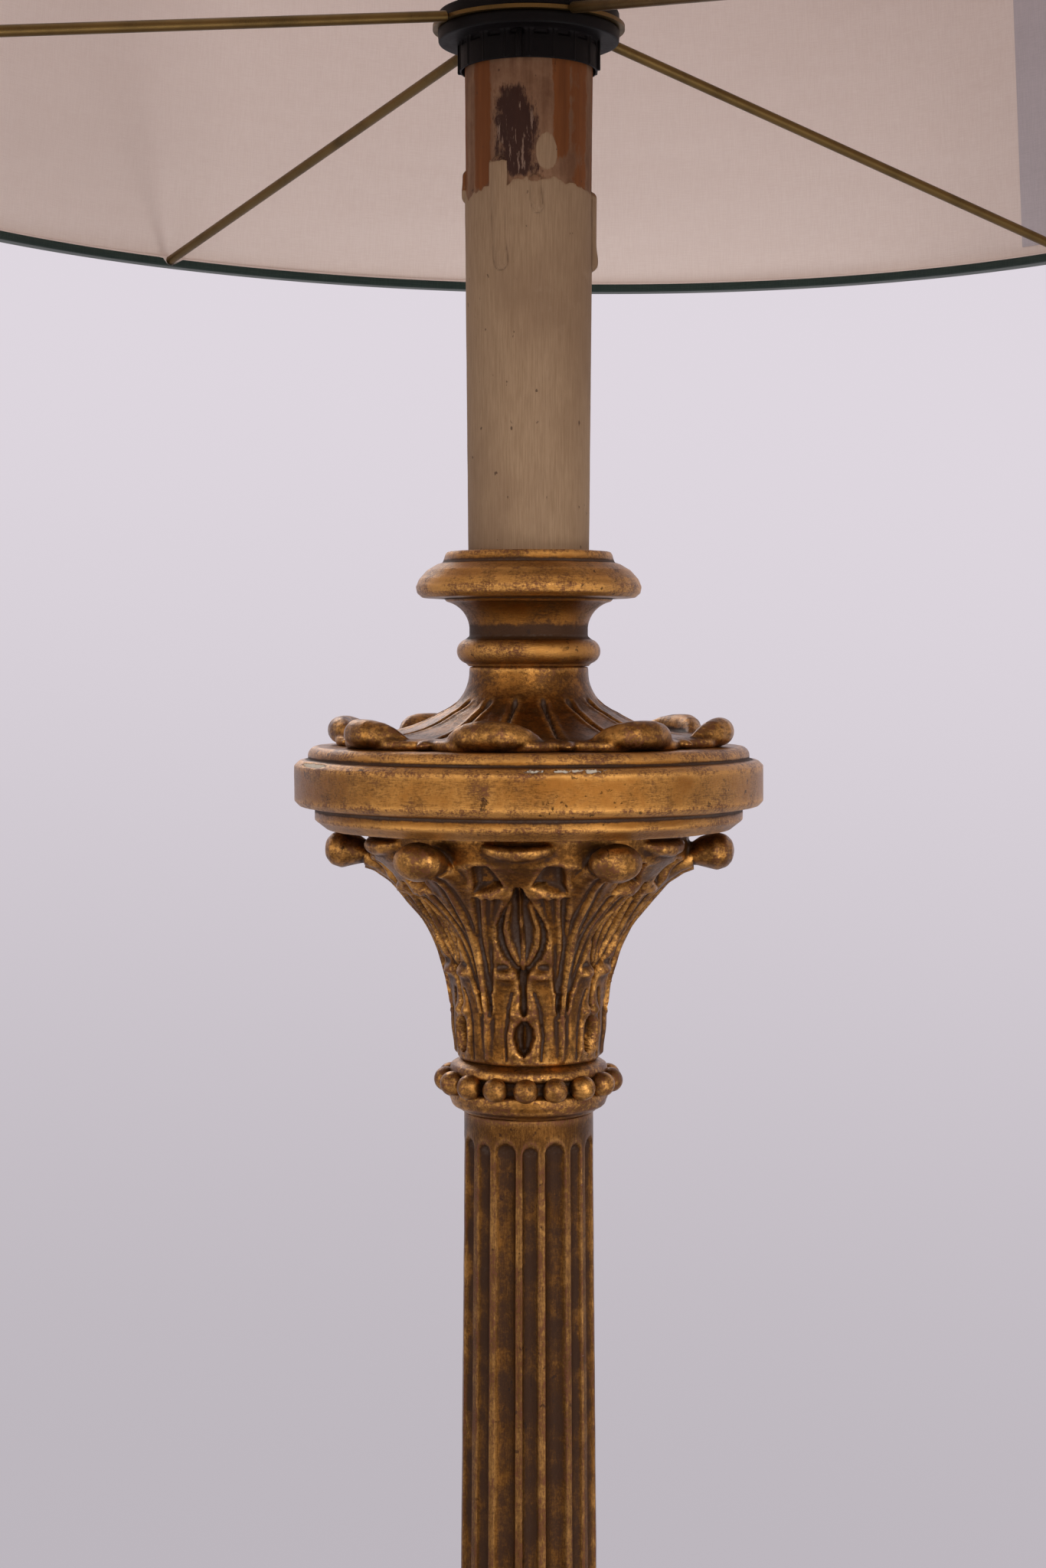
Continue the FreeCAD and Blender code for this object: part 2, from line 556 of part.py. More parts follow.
def drip_pan():
    """The round moulded pan on the capital."""
    side = [
        ("PanStepRadius - 3.8", "0"), ("PanStepRadius", "3"), ("PanStepRadius", "PanBandFoot - 1"),
        ("PanRadius - 1.4", "PanBandFoot"), ("PanRadius", "PanBandFoot + 1.5"),
        ("PanRadius", "PanBandFoot + PanBandHeight - 1.5"),
        ("PanRadius - 1.6", "PanBandFoot + PanBandHeight"),
        ("PanTopRadius", "PanBandFoot + PanBandHeight + 0.6", 0.6), ("PanTopRadius - 3", "PanHeight"),
    ]
    section("drip_pan", side, "PanHeight", pan_seat)


def leaf_spread():
    """The spread of leaves on the pan, rising in a hollow curve to the neck of the cup."""
    side = [
        ("SpreadRadius", "0"), ("SpreadRadius", "3"), ("SpreadRadius - 5", "3.6", -1.6),
        ("SpreadNeck + 9", "10.5", -0.8), ("SpreadNeck", "SpreadHeight"),
    ]
    body = section("leaf_spread", side, "SpreadHeight", spread_seat, "SpreadTurn")
    tip = add_shape(
        body, "AdditiveEllipsoid", "spread_tip",
        {"Radius1": "SpreadTipRadius", "Radius2": "SpreadTipLength", "Radius3": "SpreadTipWidth"},
        "SpreadTipReach", z="SpreadTipLevel")
    repeat_round(body, "spread_tips", tip, "SpreadLeaves")


def candle_cup():
    """The cup: a bead at the neck, a hollow flare, a round torus and the lip round the candle."""
    socket = "SleeveLowRadius + CandleClear"
    floor = "CupHeight - CandleSocketDepth"
    outline = [
        ("RodHole", "SpigotHeight + SpigotClear"),
        ("SpigotRadius + SpigotClear", "SpigotHeight + SpigotClear"),
        ("SpigotRadius + SpigotClear", "0"), ("CupNeck + 0.2", "0"), ("CupNeck + 1.1", "1", 0.52),
        ("CupNeck + 1.1", "1 + CupBead"), ("CupNeck", "2 + CupBead"), ("CupNeck", "3 + CupBead", -0.75),
        ("CupTorusRadius - 8.6", "CupHeight - 15.2"), ("CupTorusRadius - 1.6", "CupHeight - 14.4"),
        ("CupTorusRadius", "CupHeight - 12.6"), ("CupTorusRadius", "CupHeight - 10.6", 0.8),
        ("CupLipRadius + 2.6", "CupHeight - 3.9"), ("CupLipRadius + 0.7", "CupHeight - 3.4"),
        ("CupLipRadius", "CupHeight - 0.6"), ("CupLipRadius - 0.6", "CupHeight"), (socket, "CupHeight"),
        (socket, floor), ("RodHole", floor),
    ]
    turned("candle_cup", outline, cup_seat)


# ---------------------------------------------------------------- rod, candle sleeve and lampholder


def rod_parts():
    """The hollow threaded rod through the whole standard, with a nut and washer at each end."""
    foot = plinth_seat + " + RodFoot"
    top = holder_seat + " - CapDrop + CapFloor + 1.5"
    turned("threaded_rod", [
        ("RodBore", foot), ("RodRadius", foot), ("RodRadius", top), ("RodBore", top),
    ])
    ballast_foot = plinth_seat + " + RecessDepth - BallastThick"
    for label, nut_level, washer_level in (
        ("lower", ballast_foot + " - WasherThick - NutHeight", ballast_foot + " - WasherThick"),
        ("upper", sleeve_seat + " + WasherThick", sleeve_seat),
    ):
        turned(label + "_washer", [
            ("RodRadius + ThreadClear", "0"), ("WasherRadius", "0"), ("WasherRadius", "WasherThick"),
            ("RodRadius + ThreadClear", "WasherThick"),
        ], washer_level)
        prism = doc.addObject("Part::Prism", label + "_nut_prism")
        prism.Polygon = 6
        prism.setExpression("Circumradius", bound("NutAcross / sqrt(3)"))
        prism.setExpression("Height", bound("NutHeight"))
        nut = doc.addObject("Part::Cut", label + "_nut")
        nut.Base = prism
        nut.Tool = cylinder(label + "_nut_bore", "RodRadius + ThreadClear", "NutHeight")
        place(nut, nut_level)
        keep(nut, label + "_nut")


def candle_sleeve():
    """The painted wooden sleeve that looks like a candle, slightly wider at the top."""
    turned("candle_sleeve", [
        ("SleeveBore", "0"), ("SleeveLowRadius", "0"), ("SleeveTopRadius", "SleeveLength"),
        ("SleeveBore", "SleeveLength"),
    ], sleeve_seat)
    bushes = []
    for name, level in (("low", "BushLow"), ("high", "BushHigh")):
        disc = cylinder("bush_disc_" + name, "SleeveBore - CandleClear", "BushThick")
        hole = cylinder("bush_hole_" + name, "RodRadius + ThreadClear", "BushThick")
        bush = doc.addObject("Part::Cut", "bush_" + name)
        bush.Base = disc
        bush.Tool = hole
        place(bush, sleeve_seat + " + " + level)
        bushes.append(bush)
    join("sleeve_bushes", bushes)


def lampholder():
    """The screw lampholder: cap, threaded shell, ceramic insert, contacts and screws."""
    drop = "-CapDrop"
    inner = "CapRadius - CapWall"
    thread = "RodRadius + ThreadClear"
    cap = turned("holder_cap", [
        (thread, drop + " - CapNeckDrop"), ("CapNeckRadius", drop + " - CapNeckDrop"),
        ("CapNeckRadius", drop), ("CapRadius - 3", drop), ("CapRadius", drop + " + 4"),
        ("CapRadius", "CapRise"), (inner, "CapRise"), (inner, drop + " + 7"),
        ("CapRadius - 3.5", drop + " + CapFloor"), (thread, drop + " + CapFloor"),
    ], holder_seat)
    hole = add_shape(
        cap, "SubtractiveCylinder", "grub_hole",
        {"Radius": "GrubRadius + ThreadClear", "Height": "CapNeckRadius"},
        x="RodRadius - 1", z="-CapDrop - CapNeckDrop / 2", axis=(0, 1, 0), tilt="90")
    cap.Tip = hole
    grub = cylinder(
        "grub_screw", "GrubRadius", "GrubLength", "RodRadius + ThreadClear",
        z=holder_seat + " - CapDrop - CapNeckDrop / 2")
    lay(grub, (0, 1, 0), 90)
    keep(grub, "grub_screw")
    bore = "CapRadius + ThreadClear"
    turned("holder_shell", [
        (bore, "0"), ("HolderRadius", "0"), ("HolderRadius", "HolderHeight - 0.6"),
        ("HolderRadius - 0.6", "HolderHeight"), ("HolderRadius - HolderWall", "HolderHeight"),
        ("HolderRadius - HolderWall", "HolderSkirt"), (bore, "HolderSkirt"),
    ], holder_seat)
    insert = turned("holder_insert", [
        ("0", "-InsertDrop"), ("InsertRadius - 1", "-InsertDrop"), ("InsertRadius", "1 - InsertDrop"),
        ("InsertRadius", "InsertRise"), ("0", "InsertRise"),
    ], holder_seat)
    for name, radius, height in (
        ("terminal_pit", "TerminalHead + 0.2", "TerminalDepth"),
        ("terminal_thread", "TerminalRadius + ThreadClear", "TerminalDepth * 2"),
    ):
        hole = add_shape(
            insert, "SubtractiveCylinder", name, {"Radius": radius, "Height": height},
            "TerminalReach", z="-InsertDrop")
        repeat_round(insert, name + "s", hole, "2")
    screws = []
    for number, (x, y) in enumerate(round_places("TerminalReach", "2")):
        pit_roof = holder_seat + " - InsertDrop + TerminalDepth"
        head = cylinder("terminal_head_%d" % number, "TerminalHead", "2", x, y, pit_roof + " - 2")
        shank = cylinder("terminal_shank_%d" % number, "TerminalRadius", "TerminalDepth", x, y,
                         pit_roof + " - 1")
        screw = doc.addObject("Part::Fuse", "terminal_screw_%d" % number)
        screw.Base = head
        screw.Tool = shank
        screws.append(screw)
    join("terminal_screws", screws)
    turned("contact_shell", [
        ("ContactBore", "0"), ("ContactBore + ContactWall", "0"),
        ("ContactBore + ContactWall", "ContactHeight"), ("ContactBore", "ContactHeight"),
    ], holder_seat + " + InsertRise")
    turned("centre_contact", [
        ("0", "0"), ("ButtonRadius", "0"), ("ButtonRadius", "ButtonHeight - 1"),
        ("ButtonRadius - 1", "ButtonHeight"), ("0", "ButtonHeight"),
    ], holder_seat + " + InsertRise")


# ---------------------------------------------------------------- shade rings, carrier and shade


def shade_ring(label, seat, up):
    """A threaded shade ring: a broad flange with a ribbed skirt, above or below the carrier."""
    lift = "%d * " % up
    thread = "HolderRadius + RingClear"
    foot = lift + "(RingFlangeThick + RingSkirtHeight)"
    skirt_step = lift + "(RingFlangeThick + RingThreadRise)"
    outline = [
        (thread, "0"), ("RingFlangeRadius - 0.4", "0"), ("RingFlangeRadius", lift + "0.4"),
        ("RingFlangeRadius - 0.3", lift + "RingFlangeThick"),
        ("RingSkirtRadius", lift + "RingFlangeThick"), ("RingSkirtRadius", foot),
        ("RingSkirtBore", foot), ("RingSkirtBore", skirt_step), (thread, skirt_step),
    ]
    body = turned(label, outline, seat)
    low = lift + "(RingFlangeThick + RingSkirtHeight)" if up < 0 else "RingFlangeThick + 1"
    groove = add_shape(
        body, "SubtractiveCylinder", label + "_groove",
        {"Radius": "RingRibRadius", "Height": "RingSkirtHeight - 1"},
        "RingSkirtRadius + RingRibRadius - RingRibDepth", z=low)
    repeat_round(body, label + "_ribs", groove, "RingRibs")


def carrier_ring():
    """The flat brass washer of the shade carrier, clamped between the two shade rings."""
    turned("carrier_ring", [
        ("HolderRadius + CarrierClear", "0"), ("CarrierRadius", "0"), ("CarrierRadius", "CarrierThick"),
        ("HolderRadius + CarrierClear", "CarrierThick"),
    ], carrier_seat)


def shade_frame():
    """Where the leaning shade sits: turned about the middle of its bottom rim."""
    square_to_lean = math.radians(value("LeanTurn") + 90)
    axis = Vector(math.cos(square_to_lean), math.sin(square_to_lean), 0)
    return FreeCAD.Placement(
        Vector(0, 0, value(rim_level)), FreeCAD.Rotation(axis, value("ShadeLean")))


def lean(part):
    """Lean a piece of the shade about the middle of the bottom rim."""
    part.Placement = shade_frame()
    part.setExpression("Placement.Base.z", bound(rim_level))
    part.setExpression("Placement.Rotation.Angle", bound("ShadeLean"))


def rim_wire_circle(at_top):
    """The radius of a rim wire's centre line, just inside the lining."""
    circle = "ShadeTopRadius" if at_top else "ShadeRadius"
    narrowing = "" if at_top else " - RimLift * 2 * " + shade_slope
    return "%s - %s - BindingGap - RimWire%s" % (circle, lining_face, narrowing)


def carrier_arms():
    """Four round arms from the edge of the carrier washer down to the rim wire.

    Each arm's own slope follows the lean of the shade, so the arms are set by vectors.
    """
    frame = shade_frame()
    reach = value(rim_wire_circle(False) + " - RimWire - ArmGap")
    arms = []
    for alias in ARM_TURNS:
        angle = math.radians(value(alias))
        outward = Vector(math.cos(angle), math.sin(angle), 0)
        level = value(carrier_seat + " + CarrierThick / 2")
        start = outward * value("CarrierRadius + ArmGap") + Vector(0, 0, level)
        end = frame.multVec(outward * reach + Vector(0, 0, value("RimLift")))
        arms.append(Part.makeCylinder(value("ArmRadius"), (end - start).Length, start, end - start))
    feature = doc.addObject("Part::Feature", "carrier_arms")
    feature.Shape = Part.makeCompound(arms)
    keep(feature, "carrier_arms")


def rim_ring(label, at_top):
    """A wire ring that stiffens one edge of the shade."""
    ring = doc.addObject("Part::Torus", label)
    ring.setExpression("Radius1", bound(rim_wire_circle(at_top)))
    ring.setExpression("Radius2", bound("RimWire"))
    lean(ring)
    lift = "RimLift" if not at_top else "(ShadeHeight - RimLift)"
    tilt = "(ShadeLean * 1 deg)"
    aside = "%s * sin(%s)" % (lift, tilt)
    ring.setExpression("Placement.Base.x", bound(aside + " * cos(LeanTurn * 1 deg)"))
    ring.setExpression("Placement.Base.y", bound(aside + " * sin(LeanTurn * 1 deg)"))
    ring.setExpression("Placement.Base.z", bound("%s + %s * cos(%s)" % (rim_level, lift, tilt)))
    keep(ring, label)


def shade_shells():
    """The cloth cover and the pale lining under it, both cones with open ends."""
    layers = (
        ("shade_cover", "0", "CoverCloth"), ("shade_lining", "(CoverCloth + LiningGap)", "LiningThick"),
    )
    for label, depth, thick in layers:
        outer, top = "ShadeRadius - " + depth, "ShadeTopRadius - " + depth
        body = turned(label, [
            (outer + " - " + thick, "0"), (outer, "0"), (top, "ShadeHeight"),
            (top + " - " + thick, "ShadeHeight"),
        ])
        lean(body)


def seam_strip():
    """The strip inside the lining where its two ends lap."""
    face = "ShadeRadius - %s - SeamGap" % lining_face
    low, high = "BindingHeight * 1.5", "ShadeHeight - BindingHeight * 1.5"
    outer_low = "%s - %s * %s" % (face, low, shade_slope)
    outer_high = "%s - (%s) * %s" % (face, high, shade_slope)
    body = new_body("lining_seam")
    spin(body, "lining_seam", [
        (outer_low + " - SeamThick", low), (outer_low, low), (outer_high, high),
        (outer_high + " - SeamThick", high),
    ], "SeamWidth / ShadeRadius * 180 / pi", "SeamTurn")
    lean(body)


def edge_binding(label, at_top):
    """The rolled dark cloth that folds over one edge of the shade and its wire."""
    circle = "ShadeTopRadius" if at_top else "ShadeRadius"
    widest = circle + (" + BindingHeight * " + shade_slope if at_top else "")
    outer = widest + " + BindingGap"
    inner = rim_wire_circle(at_top) + " - RimWire - WireClear"
    edge, sign = ("ShadeHeight", "") if at_top else ("0", "-")
    away = lambda distance: "%s + %s(%s)" % (edge, sign, distance)
    back = lambda distance: "%s - %s(%s)" % (edge, sign, distance)
    body = turned(label, [
        (outer, back("BindingHeight")), (outer + " + BindingThick", back("BindingHeight")),
        (outer + " + BindingThick", away("BindingGap")),
        (outer + " + BindingThick / 2", away("BindingGap + BindingThick")),
        (inner + " - BindingThick / 2", away("BindingGap + BindingThick")),
        (inner + " - BindingThick", away("BindingGap")), (inner + " - BindingThick", back("BindingHeight")),
        (inner, back("BindingHeight")), (inner, away("BindingGap")), (outer, away("BindingGap")),
    ])
    lean(body)
    return body


def arm_notches(binding):
    """Notches in the inner fold of the bottom binding, where the arms reach the rim wire."""
    inside = "(%s - RimWire * 2.3)" % rim_wire_circle(False)
    for alias in ARM_TURNS:
        across = math.radians(value(alias) + 90)
        binding.Tip = add_shape(
            binding, "SubtractiveCylinder", "notch_" + alias,
            {"Radius": "ArmRadius + ArmNotch", "Height": "RimWire * 1.3"},
            "%s * cos(%s * 1 deg)" % (inside, alias), "%s * sin(%s * 1 deg)" % (inside, alias),
            "RimLift + ArmNotch / 2", axis=(math.cos(across), math.sin(across), 0), tilt="90")


# ---------------------------------------------------------------- bulb


def bulb():
    """The round bulb, drawn from the tip contact that rests on the holder's centre contact."""
    seat = holder_seat + " + InsertRise + ButtonHeight"
    turned("bulb_contact", [
        ("0", "0"), ("BulbTipRadius - 1", "0"), ("BulbTipRadius", "0.6"), ("BulbTipRadius", "1.4"),
        ("0", "1.4"),
    ], seat)
    turned("bulb_insulator", [
        ("0", "1.4"), ("BulbTipRadius + 0.6", "1.4"), ("BulbCapRadius - 1.2", "BulbTipRise"),
        ("BulbCapRadius - 1.2", "BulbTipRise + 1.5"), ("0", "BulbTipRise + 1.5"),
    ], seat)
    cap_top = "BulbTipRise + BulbCapHeight"
    inner = "BulbCapRadius - BulbCapWall"
    turned("bulb_cap", [
        ("BulbCapRadius - 1.2", "BulbTipRise"), ("BulbCapRadius", "BulbTipRise + 1.2"),
        ("BulbCapRadius", cap_top), (inner, cap_top), (inner, "BulbTipRise + 1.8"),
        ("BulbCapRadius - 1.2", "BulbTipRise + 1.5"),
    ], seat)
    neck = inner + " - 0.05"
    middle = "BulbLength - BulbGlassRadius"
    wall = "BulbWall"
    turned("bulb_glass", [
        (neck, cap_top + " - 6"), (neck, cap_top), (neck + " + 0.6", cap_top + " + 2", -1.4),
        ("BulbGlassRadius * 0.86", middle + " - BulbGlassRadius * 0.51", 0.98),
        ("BulbGlassRadius", middle, 0.71), ("BulbCrown", "BulbLength"), ("0", "BulbLength"),
        ("0", "BulbLength - " + wall), ("BulbCrown", "BulbLength - " + wall, -0.71),
        ("BulbGlassRadius - " + wall, middle, -0.98),
        ("BulbGlassRadius * 0.86 - " + wall, middle + " - BulbGlassRadius * 0.51", 1.4),
        (neck + " + 0.6 - " + wall, cap_top + " + 2"), (neck + " - " + wall, cap_top),
        (neck + " - " + wall, cap_top + " - 6"),
    ], seat)


# ---------------------------------------------------------------- build, check and write

foot_parts()
plinth()
plinth_step()
ballast()
base_cover()
cord_gland()
foot_trumpet()
bead_ring("knop_ring", "KnopRadius", "KnopHeight", "KnopBeads", knop_seat, "VaseFoot")
vase()
bead_ring("lower_collar", "LowerCollarRadius", "LowerCollarHeight", "LowerCollarBeads",
          lower_collar_seat, "LowerCollarRadius - 5")
column()
bead_ring("bead_collar", "CollarRadius", "CollarHeight", "CollarBeads", collar_seat,
          "ColumnTopRadius + 0.5", "CollarTurn")
capital()
drip_pan()
leaf_spread()
candle_cup()
rod_parts()
candle_sleeve()
lampholder()
shade_ring("support_ring", carrier_seat + " - RingPlay", -1)
shade_ring("clamp_ring", carrier_seat + " + CarrierThick + RingPlay", 1)
carrier_ring()
carrier_arms()
rim_ring("bottom_rim_wire", False)
rim_ring("top_rim_wire", True)
shade_shells()
seam_strip()
arm_notches(edge_binding("bottom_binding", False))
edge_binding("top_binding", True)
bulb()
doc.recompute()

failed = [item.Name for item in doc.Objects if "Invalid" in item.State or "Error" in item.State]
if failed:
    raise SystemExit("failed objects: " + ", ".join(failed))
for part in SUB_PARTS:
    solids = len(part.Shape.Solids)
    if part.Shape.isNull() or not part.Shape.isValid() or not solids:
        raise SystemExit("bad shape: " + part.Label)
    if part.TypeId == "PartDesign::Body" and solids > 1:
        raise SystemExit("a body in pieces: " + part.Label)

os.makedirs(PARTS_FOLDER, exist_ok=True)
for part in SUB_PARTS:
    part.Shape.exportStep(os.path.join(PARTS_FOLDER, part.Label + ".step"))
print("%d sub-parts, %d solids" % (len(SUB_PARTS), sum(len(part.Shape.Solids) for part in SUB_PARTS)))
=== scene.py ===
"""The looks of a candlestick floor lamp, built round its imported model.

Sizes are in millimetres inside the classes and in metres on the objects. The standard's axis is Z,
the side that faces the camera is -Y.
"""

import logging
import math
from collections.abc import Callable, Iterator, Sequence
from contextlib import contextmanager
from dataclasses import dataclass
from enum import Enum

import bpy
import numpy as np
from mathutils import Matrix, Vector

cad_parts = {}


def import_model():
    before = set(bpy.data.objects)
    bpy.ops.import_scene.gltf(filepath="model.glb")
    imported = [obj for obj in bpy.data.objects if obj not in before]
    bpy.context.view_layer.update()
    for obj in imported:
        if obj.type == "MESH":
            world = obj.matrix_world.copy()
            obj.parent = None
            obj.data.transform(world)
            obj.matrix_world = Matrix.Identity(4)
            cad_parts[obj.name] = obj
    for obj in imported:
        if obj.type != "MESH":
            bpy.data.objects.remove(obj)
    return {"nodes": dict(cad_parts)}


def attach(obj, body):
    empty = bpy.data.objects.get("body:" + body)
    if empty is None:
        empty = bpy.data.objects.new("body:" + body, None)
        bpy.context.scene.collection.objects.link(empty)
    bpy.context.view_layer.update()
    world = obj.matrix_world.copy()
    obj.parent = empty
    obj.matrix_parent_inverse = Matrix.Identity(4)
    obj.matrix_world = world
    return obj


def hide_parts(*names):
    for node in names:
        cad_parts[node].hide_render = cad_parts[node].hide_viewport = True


log = logging.getLogger("floor_lamp")

MM = 0.001
Corners = Sequence[tuple[float, ...]]
Colour = tuple[float, float, float]
Spacing = Callable[[np.ndarray], np.ndarray]


# ------------------------------------------------------------------ shader nodes


class Wire:
    """A value in a node tree, which can be used in sums."""

    def __init__(self, graph: "Graph", source: bpy.types.NodeSocket) -> None:
        """Keeps the socket and the tree that it belongs to."""
        self.graph = graph
        self.source = source

    def _sum(self, operation: str, first: "Value", second: "Value") -> "Wire":
        """One Math node on two values."""
        return self.graph.node("ShaderNodeMath", {"operation": operation}, {0: first, 1: second})

    def __add__(self, other: "Value") -> "Wire":
        """self + other."""
        return self._sum("ADD", self, other)

    def __sub__(self, other: "Value") -> "Wire":
        """self - other."""
        return self._sum("SUBTRACT", self, other)

    def __rsub__(self, other: "Value") -> "Wire":
        """other - self."""
        return self._sum("SUBTRACT", other, self)

    def __mul__(self, other: "Value") -> "Wire":
        """self * other."""
        return self._sum("MULTIPLY", self, other)

    __radd__ = __add__
    __rmul__ = __mul__


Value = Wire | float


class Graph:
    """The node tree of one material or world."""

    def __init__(self, owner: bpy.types.Material | bpy.types.World) -> None:
        """Starts from an empty tree."""
        owner.use_nodes = True
        self.tree = owner.node_tree
        self.tree.nodes.clear()

    def node(
        self, kind: str, settings: dict | None = None, inputs: dict | None = None, output: int | str = 0,
    ) -> Wire:
        """Adds a node.

        Args:
            kind: the node's type.
            settings: its own settings.
            inputs: values or wires, by the socket's name or number.
            output: the socket that is handed back.

        Returns:
            The wire from that output.
        """
        made = self.tree.nodes.new(kind)
        for name, value in (settings or {}).items():
            setattr(made, name, value)
        for key, value in (inputs or {}).items():
            socket = made.inputs[key]
            if isinstance(value, Wire):
                self.tree.links.new(value.source, socket)
            elif socket.type == "RGBA" and len(value) == 3:
                socket.default_value = (*value, 1.0)
            else:
                socket.default_value = value
        return Wire(self, made.outputs[output])

    def place(self, stretch: Colour = (1, 1, 1), source: str = "Object") -> Wire:
        """Texture coordinates, stretched.

        Args:
            stretch: the factor on each axis.
            source: "Object" or "UV".

        Returns:
            The stretched coordinates.
        """
        here = self.node("ShaderNodeTexCoord", output=source)
        return self.node("ShaderNodeMapping", {}, {"Vector": here, "Scale": stretch})

    def noise(
        self, scale: float, detail: float = 4, stretch: Colour = (1, 1, 1), seed: float = 0,
        rough: float = 0.55, source: str = "Object",
    ) -> Wire:
        """Fractal noise from 0 to 1 round 0.5.

        Args:
            scale: features per metre.
            detail: its octaves.
            stretch: the factor on each axis.
            seed: moves the pattern.
            rough: how strong the finer octaves are.
            source: "Object" or "UV".

        Returns:
            The noise.
        """
        here = self.node(
            "ShaderNodeVectorMath", {"operation": "ADD"},
            {0: self.place(stretch, source), 1: (seed, seed * 0.7, -seed)})
        return self.node(
            "ShaderNodeTexNoise", {},
            {"Vector": here, "Scale": scale, "Detail": detail, "Roughness": rough})

    def between(self, value: Value, low: float, high: float) -> Wire:
        """0 below low and 1 above high, smooth in between."""
        return self.node(
            "ShaderNodeMapRange", {"interpolation_type": "SMOOTHSTEP"}, {0: value, 1: low, 2: high})

    def mix(self, mask: Value, first: "Wire | Colour", second: "Wire | Colour") -> Wire:
        """A colour that goes from the first to the second as mask goes from 0 to 1."""
        return self.node(
            "ShaderNodeMix", {"data_type": "RGBA"}, {0: mask, 6: first, 7: second}, 2)

    def worn(self, name: str) -> Wire:
        """An attribute of the mesh, which is 0 where the mesh hasn't got it."""
        return self.node("ShaderNodeAttribute", {"attribute_name": name}, output="Fac")

    def bump(self, height: Wire, depth: float) -> Wire:
        """A normal, from a height of 0 to 1 and the real depth in millimetres."""
        return self.node("ShaderNodeBump", {}, {"Height": height, "Strength": 1.0, "Distance": depth * MM})

    def surface(self, **sockets: "Value | Colour") -> None:
        """Ends the material with a Principled surface, whose sockets are named with underscores."""
        named = {name.replace("_", " "): value for name, value in sockets.items()}
        end = self.tree.nodes.new("ShaderNodeOutputMaterial")
        shade = self.node("ShaderNodeBsdfPrincipled", {}, named)
        self.tree.links.new(shade.source, end.inputs["Surface"])


def new_material(name: str) -> tuple[bpy.types.Material, Graph]:
    """An empty material and its graph."""
    made = bpy.data.materials.new(name)
    return made, Graph(made)


# ------------------------------------------------------------------ finishes


class Strokes(Enum):
    """Which way the gilder's brush and the wood's grain run, as a stretch of the pattern."""

    ROUND = (1.0, 1.0, 14.0)
    UPRIGHT = (9.0, 9.0, 0.7)
    LOOSE = (1.0, 1.0, 1.6)


@dataclass(frozen=True)
class Gilding:
    """Old gold leaf over red clay and white ground, rubbed lighter on the heights, partly as a painted
    highlight, and brown in the hollows.
    """

    name: str
    leaf: Colour = (0.245, 0.098, 0.018)
    # partly a painted highlight: this colour of leaf worn bright is made light enough to stand in for the
    # glints on the carved tips too
    rubbed_and_highlight: Colour = (0.56, 0.275, 0.070)
    brown: Colour = (0.036, 0.0135, 0.0042)
    clay: Colour = (0.12, 0.036, 0.014)
    ground: Colour = (0.60, 0.52, 0.41)
    dust: Colour = (0.095, 0.066, 0.050)
    strokes: Strokes = Strokes.LOOSE
    patina: float = 0.0
    dusty: float = 0.0
    flecks: float = 0.0

    def make(self) -> bpy.types.Material:
        """The material."""
        made, g = new_material(self.name)
        relief = g.worn("relief")
        chip = g.worn("chip")
        broad = g.noise(26, 5, seed=3.1)
        patch = g.noise(95, 6, seed=1.7, rough=0.66)
        fine = g.noise(1100, 5, seed=5.2, rough=0.72)
        brushed = g.noise(420, 6, self.strokes.value, seed=2.4, rough=0.78)
        # partly painted highlight: the lighter rubbed colour goes on the heights, where glints fall, as
        # well as on places really worn bright
        height = broad * 0.9 + relief * -0.42 + patch * 0.7
        colour = g.mix(g.between(height, 0.70, 1.20), self.leaf, self.rubbed_and_highlight)
        shade = patch * 0.8 + brushed * 0.7 + fine * 0.4 + self.patina
        colour = g.mix(g.between(shade, 0.83, 1.12) * 0.80, colour, self.brown)
        low = relief + (patch - 0.5) * 1.1 + (fine - 0.5) * 0.6 + self.patina * 0.4
        hollow = g.between(low, 0.02, 0.62)
        colour = g.mix(hollow * 0.95, colour, self.brown)
        thin = g.between(patch + brushed * 0.5 + relief * -0.25, 0.84, 1.02) * g.between(fine, 0.42, 0.58)
        colour = g.mix(thin * 0.8, colour, self.clay)
        settled = g.between(relief + (fine - 0.5) * 1.1 + (broad - 0.5) * 1.2 + self.dusty, 0.70, 1.3)
        colour = g.mix(settled * 0.6, colour, self.dust)
        spots, swarms = g.noise(420, 3, seed=8.8), g.noise(40, 3, seed=9.4)
        specks = g.between(spots, 0.64, 0.68) * g.between(swarms, 0.42, 0.6)
        colour = g.mix(specks * 0.75, colour, (0.022, 0.010, 0.006))
        rubbed_off = g.between(fine + relief * -0.16 + patch * 0.5 + self.flecks, 1.12, 1.2)
        chipped = g.between(chip + (fine - 0.5) * 0.9, 0.42, 0.58)
        bare = g.node("ShaderNodeClamp", {}, {0: chipped + rubbed_off})
        colour = g.mix(bare * 0.9, colour, self.ground)
        covered = (1.0 - hollow * 0.6) * (1.0 - bare * 0.95) * (1.0 - settled * 0.6) * (1.0 - thin * 0.6)
        surface = brushed * 0.5 + fine * 0.45 + patch * 0.7 + bare * -0.8
        g.surface(
            Base_Color=colour, Metallic=covered * 0.94, Specular_IOR_Level=0.22,
            Roughness=0.17 + fine * 0.20 + brushed * 0.12 + hollow * 0.26 + bare * 0.25,
            Normal=g.bump(surface, 0.22))
        return made


